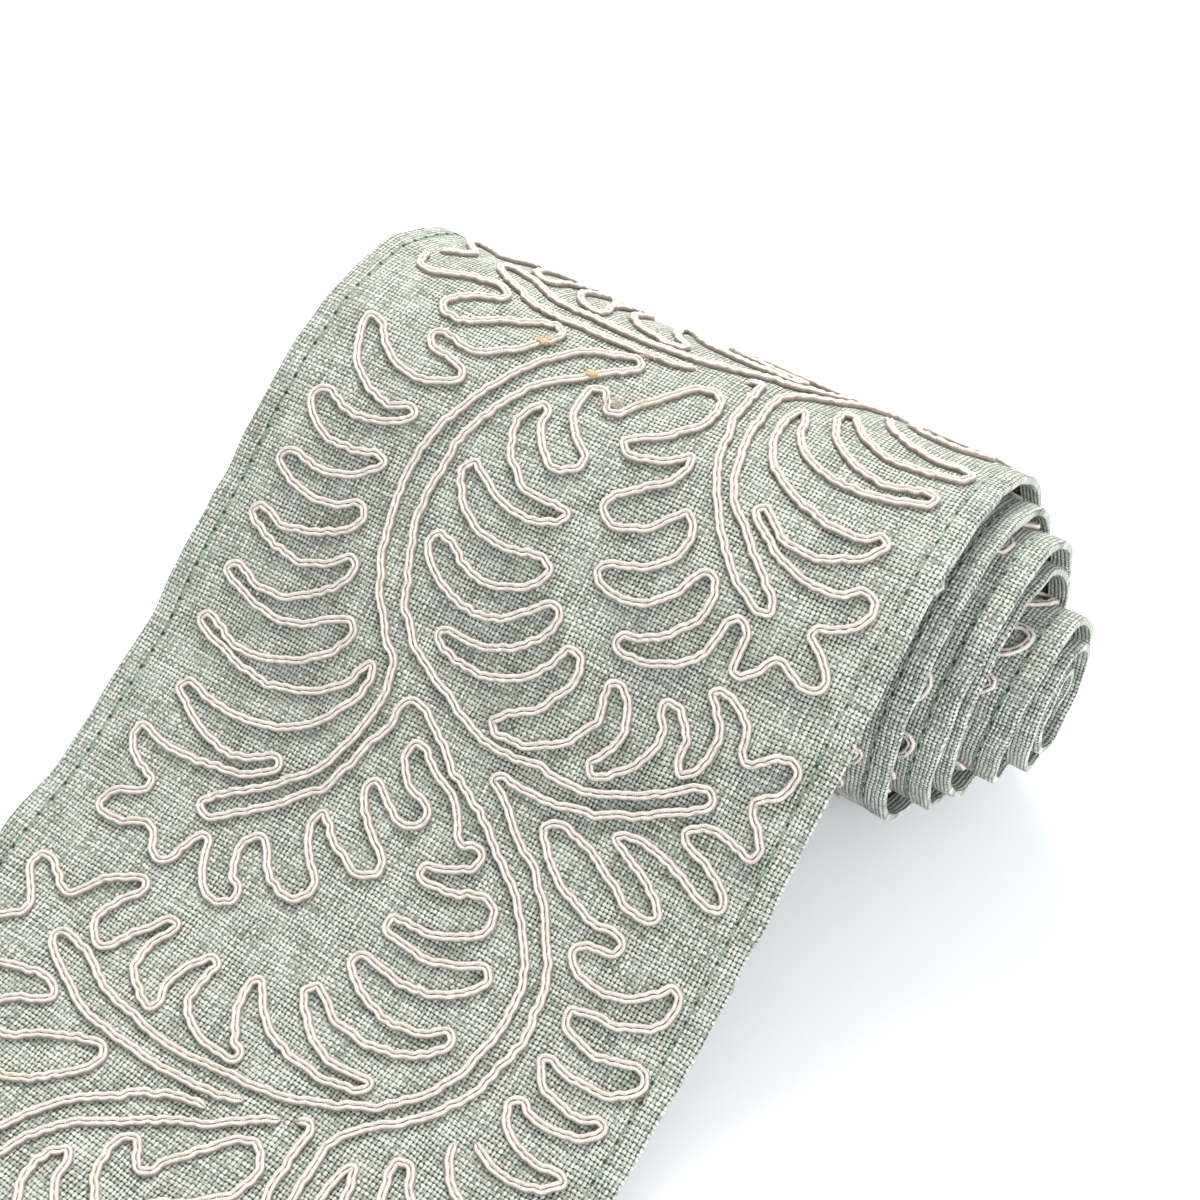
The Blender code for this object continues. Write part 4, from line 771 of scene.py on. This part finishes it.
# sewing threads: fine spun cotton, matt, in small arched stitches
sewing = {
    "hemLength": 3.1, "hemWidth": 0.5, "hemSink": 0.08, "arch": 0.2,
    "couchLength": 0.9, "couchWidth": 0.16, "couchRise": 0.68, "couchFrom": 1.5, "couchTo": 1,
    "grain": 2600.0, "bump": 0.00008, "roughness": 0.7,
    "mint": ("#8DAC90", "#4B6C56"), "ivory": ("#DDD3C6", "#9C866C"),
    "tan": ("#C9A98A", "#94714F"), "frayed": ("#D6C8B9", "#A38B78"),
}
tack = {"across": 1.5, "along": 1.0, "rise": 0.45, "base": 1.15, "knots": 0.16}
frays = {
    "spots": [(-4.5, 15), (-2.5, 13.6), (1.5, 11), (-5, -1.5), (-24, 5.5)],
    "perSpot": 16, "scatter": 0.8, "lengths": (1.8, 3.2), "width": 0.1, "lowest": 0.2, "highest": 1.5,
}


def makeThread(name, light, dark):
    # spun cotton: matt, with a fine uneven twist
    material, add = newMaterial(name)
    place = add("TexCoord", {}, "Object")
    grain = add("TexNoise", {"Vector": place, "Scale": sewing["grain"], "Detail": 2.0})
    share = add("MapRange", {0: grain, 1: 0.35, 2: 0.68}, **smooth)
    colour = add("Mix", {0: share, 6: toLinear(dark), 7: toLinear(light)}, 2, **colourMix)
    bump = add("Bump", {"Height": grain, "Distance": sewing["bump"], "Strength": 1.0})
    shader = add("BsdfPrincipled", {
        "Base Color": colour, "Normal": bump, "Roughness": sewing["roughness"],
        "Sheen Weight": 0.2, "Specular IOR Level": 0.3,
    })
    add("OutputMaterial", {"Surface": shader})
    return material


def stitchRow(name, places, headings, heights, length, width, material, replaced):
    # as many copies of one short arched thread as there are places, each laid in its own
    shape = bmesh.new()
    lyingDown = Matrix.Rotation(math.pi / 2, 4, "Y")
    bmesh.ops.create_uvsphere(shape, u_segments=5, v_segments=5, radius=1, matrix=lyingDown)
    single = bpy.data.meshes.new("singleStitch")
    shape.to_mesh(single)
    shape.clear()
    for _ in places:
        shape.from_mesh(single)
    mesh = plainMesh("stitchFlat", shape)
    bpy.data.meshes.remove(single)
    drawn = vertexPlaces(mesh).reshape(len(places), -1, 3)
    run = drawn[..., 0] * length / 2
    over = drawn[..., 1] * width / 2
    rise = drawn[..., 2] * width / 2 + sewing["arch"] * (0.6 - drawn[..., 0] ** 2)
    across = places[:, :1] + headings[:, :1] * run - headings[:, 1:] * over
    along = places[:, 1:] + headings[:, 1:] * run + headings[:, :1] * over
    mesh = laidOnPath(name, mesh, across.ravel(), along.ravel(), (heights[:, None] + rise).ravel())
    return finishPiece(name, mesh, material, replaced)


def makeHemStitches():
    mint = makeThread("mintSewingThread", *sewing["mint"])
    pitch, made = hem["stitchPitch"], []
    first = math.ceil((innerEnd + hem["end"]) / pitch) + 0.5
    last = math.floor((frontEnd - hem["end"]) / pitch)
    seam = runner["width"] / 2 - hem["side"]
    along = np.arange(first, last) * pitch
    for name, node, sign in (("leftHemStitches", "left_hem_thread", -1),
                             ("rightHemStitches", "right_hem_thread", 1)):
        places = np.stack([np.full_like(along, sign * seam), along], -1)
        made.append(hemRow(name, node, places, (0.0, 1.0), mint))
    across = np.arange(-(seam - pitch), seam - pitch, pitch)
    for name, node, along in (("frontHemStitches", "front_hem_thread", frontEnd - hem["end"]),
                              ("innerHemStitches", "inner_hem_thread", innerEnd + hem["end"])):
        made.append(hemRow(name, node, np.stack([across, np.full_like(across, along)], -1), (1.0, 0.0), mint))
    return made


def hemRow(name, node, places, heading, material):
    heights = clothLift(places[:, 0], places[:, 1]) - sewing["hemSink"]
    return stitchRow(name, places, np.tile(heading, (len(places), 1)), heights, sewing["hemLength"],
                     sewing["hemWidth"], material, [node])


def makeCouching():
    # small stitches that hold each cord down through its groove
    spots, headings = [], []
    for route, lengths in stitched:
        forward, _ = sidesOf(route)
        for place in np.arange(sewing["couchFrom"], lengths[-1] - sewing["couchTo"], soutache["stitchPitch"]):
            index = int(np.searchsorted(lengths, place))
            spots.append(route[index])
            headings.append(forward[index])
    spots, headings = np.array(spots), np.array(headings)
    ivory = makeThread("ivoryCouchingThread", *sewing["ivory"])
    heights = clothLift(spots[:, 0], spots[:, 1]) + sewing["couchRise"]
    stitchRow("couchingStitches", spots, headings, heights, sewing["couchLength"], sewing["couchWidth"],
              ivory, [])
    return len(spots)


def makeTack(number, across, along, material):
    # a knotted lump of stitches over a cord end
    shape = bmesh.new()
    bmesh.ops.create_icosphere(shape, subdivisions=3, radius=1)
    base = float(clothLift(np.array(across), np.array(along))) + tack["base"]
    for vertex in shape.verts:
        swell = 1 + tack["knots"] * math.sin(vertex.co.x * 9 + across) * math.cos(vertex.co.y * 7)
        knot = vertex.co * swell
        vertex.co = Vector(layOnPath(across + knot.x * tack["across"], along + knot.y * tack["along"],
                                     base + knot.z * tack["rise"]))
    mesh = outwardMesh(f"cordTack{number}", shape)
    finishPiece(f"cordTack{number}", mesh, material, [f"cord_tack_{number}"])


def makeFrays(material):
    # loose fibres that stand out of the cut cord ends
    random = np.random.default_rng(77)
    for length in frays["lengths"]:
        centres = np.repeat(np.array(frays["spots"]), frays["perSpot"], axis=0)
        places = centres + random.normal(0, frays["scatter"], centres.shape)
        turns = random.uniform(0, 2 * math.pi, len(places))
        standing = random.uniform(frays["lowest"], frays["highest"], len(places))
        heights = clothLift(places[:, 0], places[:, 1]) + standing
        headings = np.stack([np.cos(turns), np.sin(turns)], -1)
        stitchRow(f"frayedFibres{int(length * 10)}", places, headings, heights, length, frays["width"],
                  material, [])


hemPieces = makeHemStitches()
print("couching stitches made:", makeCouching())
tanThread = makeThread("tanBarTackThread", *sewing["tan"])
for number, spot in enumerate(tackPlaces, 1):
    makeTack(number, *spot, tanThread)
makeFrays(makeThread("frayedRayonFibre", *sewing["frayed"]))
print("stitches and tacks made")

# lamp powers in watts, sizes and places in metres from the middle of the cloth
studio = {
    "paper": "#FAFBFC", "world": "#F5F9FC", "worldStrength": 0.84,
    "key": 16.5, "keySize": 0.35, "keyPlace": (-0.34, 0.52, 0.8), "keyColour": "#FFFDF8",
    "fill": 11, "fillSize": 0.6, "fillPlace": (0.9, -0.35, 0.35), "fillColour": "#F4F8FF",
    "floorSize": 6, "floorDrop": 0.0002,
}
lens = {
    "azimuth": 30.93, "elevation": 45.05, "roll": 3.05, "distance": 0.4303, "length": 57.86,
    "target": (0.9 * mm, axisY * mm - 21.5 * mm, 30.4 * mm),
}


def makeFloor():
    shape = bmesh.new()
    bmesh.ops.create_grid(shape, x_segments=1, y_segments=1, size=studio["floorSize"])
    bmesh.ops.translate(shape, verts=shape.verts, vec=(0, 0, -studio["floorDrop"]))
    mesh = plainMesh("tableTop", shape)
    material, add = newMaterial("whiteSeamlessPaper")      # matt rolled paper: bright, with no gloss to it
    shader = add("BsdfPrincipled", {
        "Base Color": toLinear(studio["paper"]), "Roughness": 0.7, "Specular IOR Level": 0.2,
    })
    add("OutputMaterial", {"Surface": shader})
    mesh.materials.append(material)
    floor = bpy.data.objects.new("tableTop", mesh)
    bpy.context.scene.collection.objects.link(floor)


def addLamp(name, place, aim, size, power, colour):
    data = bpy.data.lights.new(name, "AREA")
    data.shape = "SQUARE"
    data.size = size
    data.energy = power
    data.color = toLinear(colour)[:3]
    lamp = bpy.data.objects.new(name, data)
    bpy.context.scene.collection.objects.link(lamp)
    lamp.location = place
    lamp.rotation_euler = (Vector(aim) - Vector(place)).to_track_quat("-Z", "Y").to_euler()


def makeCamera():
    turn, lift, roll = (math.radians(lens[key]) for key in ("azimuth", "elevation", "roll"))
    back = Vector((math.sin(turn) * math.cos(lift), -math.cos(turn) * math.cos(lift), math.sin(lift)))
    right = Vector((math.cos(turn), math.sin(turn), 0))
    up = back.cross(right)
    tiltedRight = right * math.cos(roll) + up * math.sin(roll)
    tiltedUp = up * math.cos(roll) - right * math.sin(roll)
    data = bpy.data.cameras.new("camera")
    data.lens = lens["length"]
    data.sensor_width = 36
    data.clip_start = 0.01
    data.clip_end = 20
    camera = bpy.data.objects.new("camera", data)
    bpy.context.scene.collection.objects.link(camera)
    placed = Matrix((tiltedRight, tiltedUp, back)).transposed().to_4x4()
    placed.translation = Vector(lens["target"]) + back * lens["distance"]
    camera.matrix_world = placed
    bpy.context.scene.camera = camera


def lightStudio():
    # one soft key from behind and the left, a broad fill from the right, and a white room
    aim = Vector((0, axisY * mm - 0.07, 0.02))
    for name, lamp in (("keyFromBehindLeft", "key"), ("fillFromRight", "fill")):
        place = aim + Vector(studio[lamp + "Place"])
        addLamp(name, place, aim, studio[lamp + "Size"], studio[lamp], studio[lamp + "Colour"])
    world = bpy.data.worlds.new("studio")
    world.use_nodes = True
    room = world.node_tree.nodes["Background"]
    room.inputs["Color"].default_value = toLinear(studio["world"])
    room.inputs["Strength"].default_value = studio["worldStrength"]
    bpy.context.scene.world = world
    bpy.context.scene.view_settings.view_transform = "Standard"


makeFloor()
lightStudio()
makeCamera()
print("studio made")
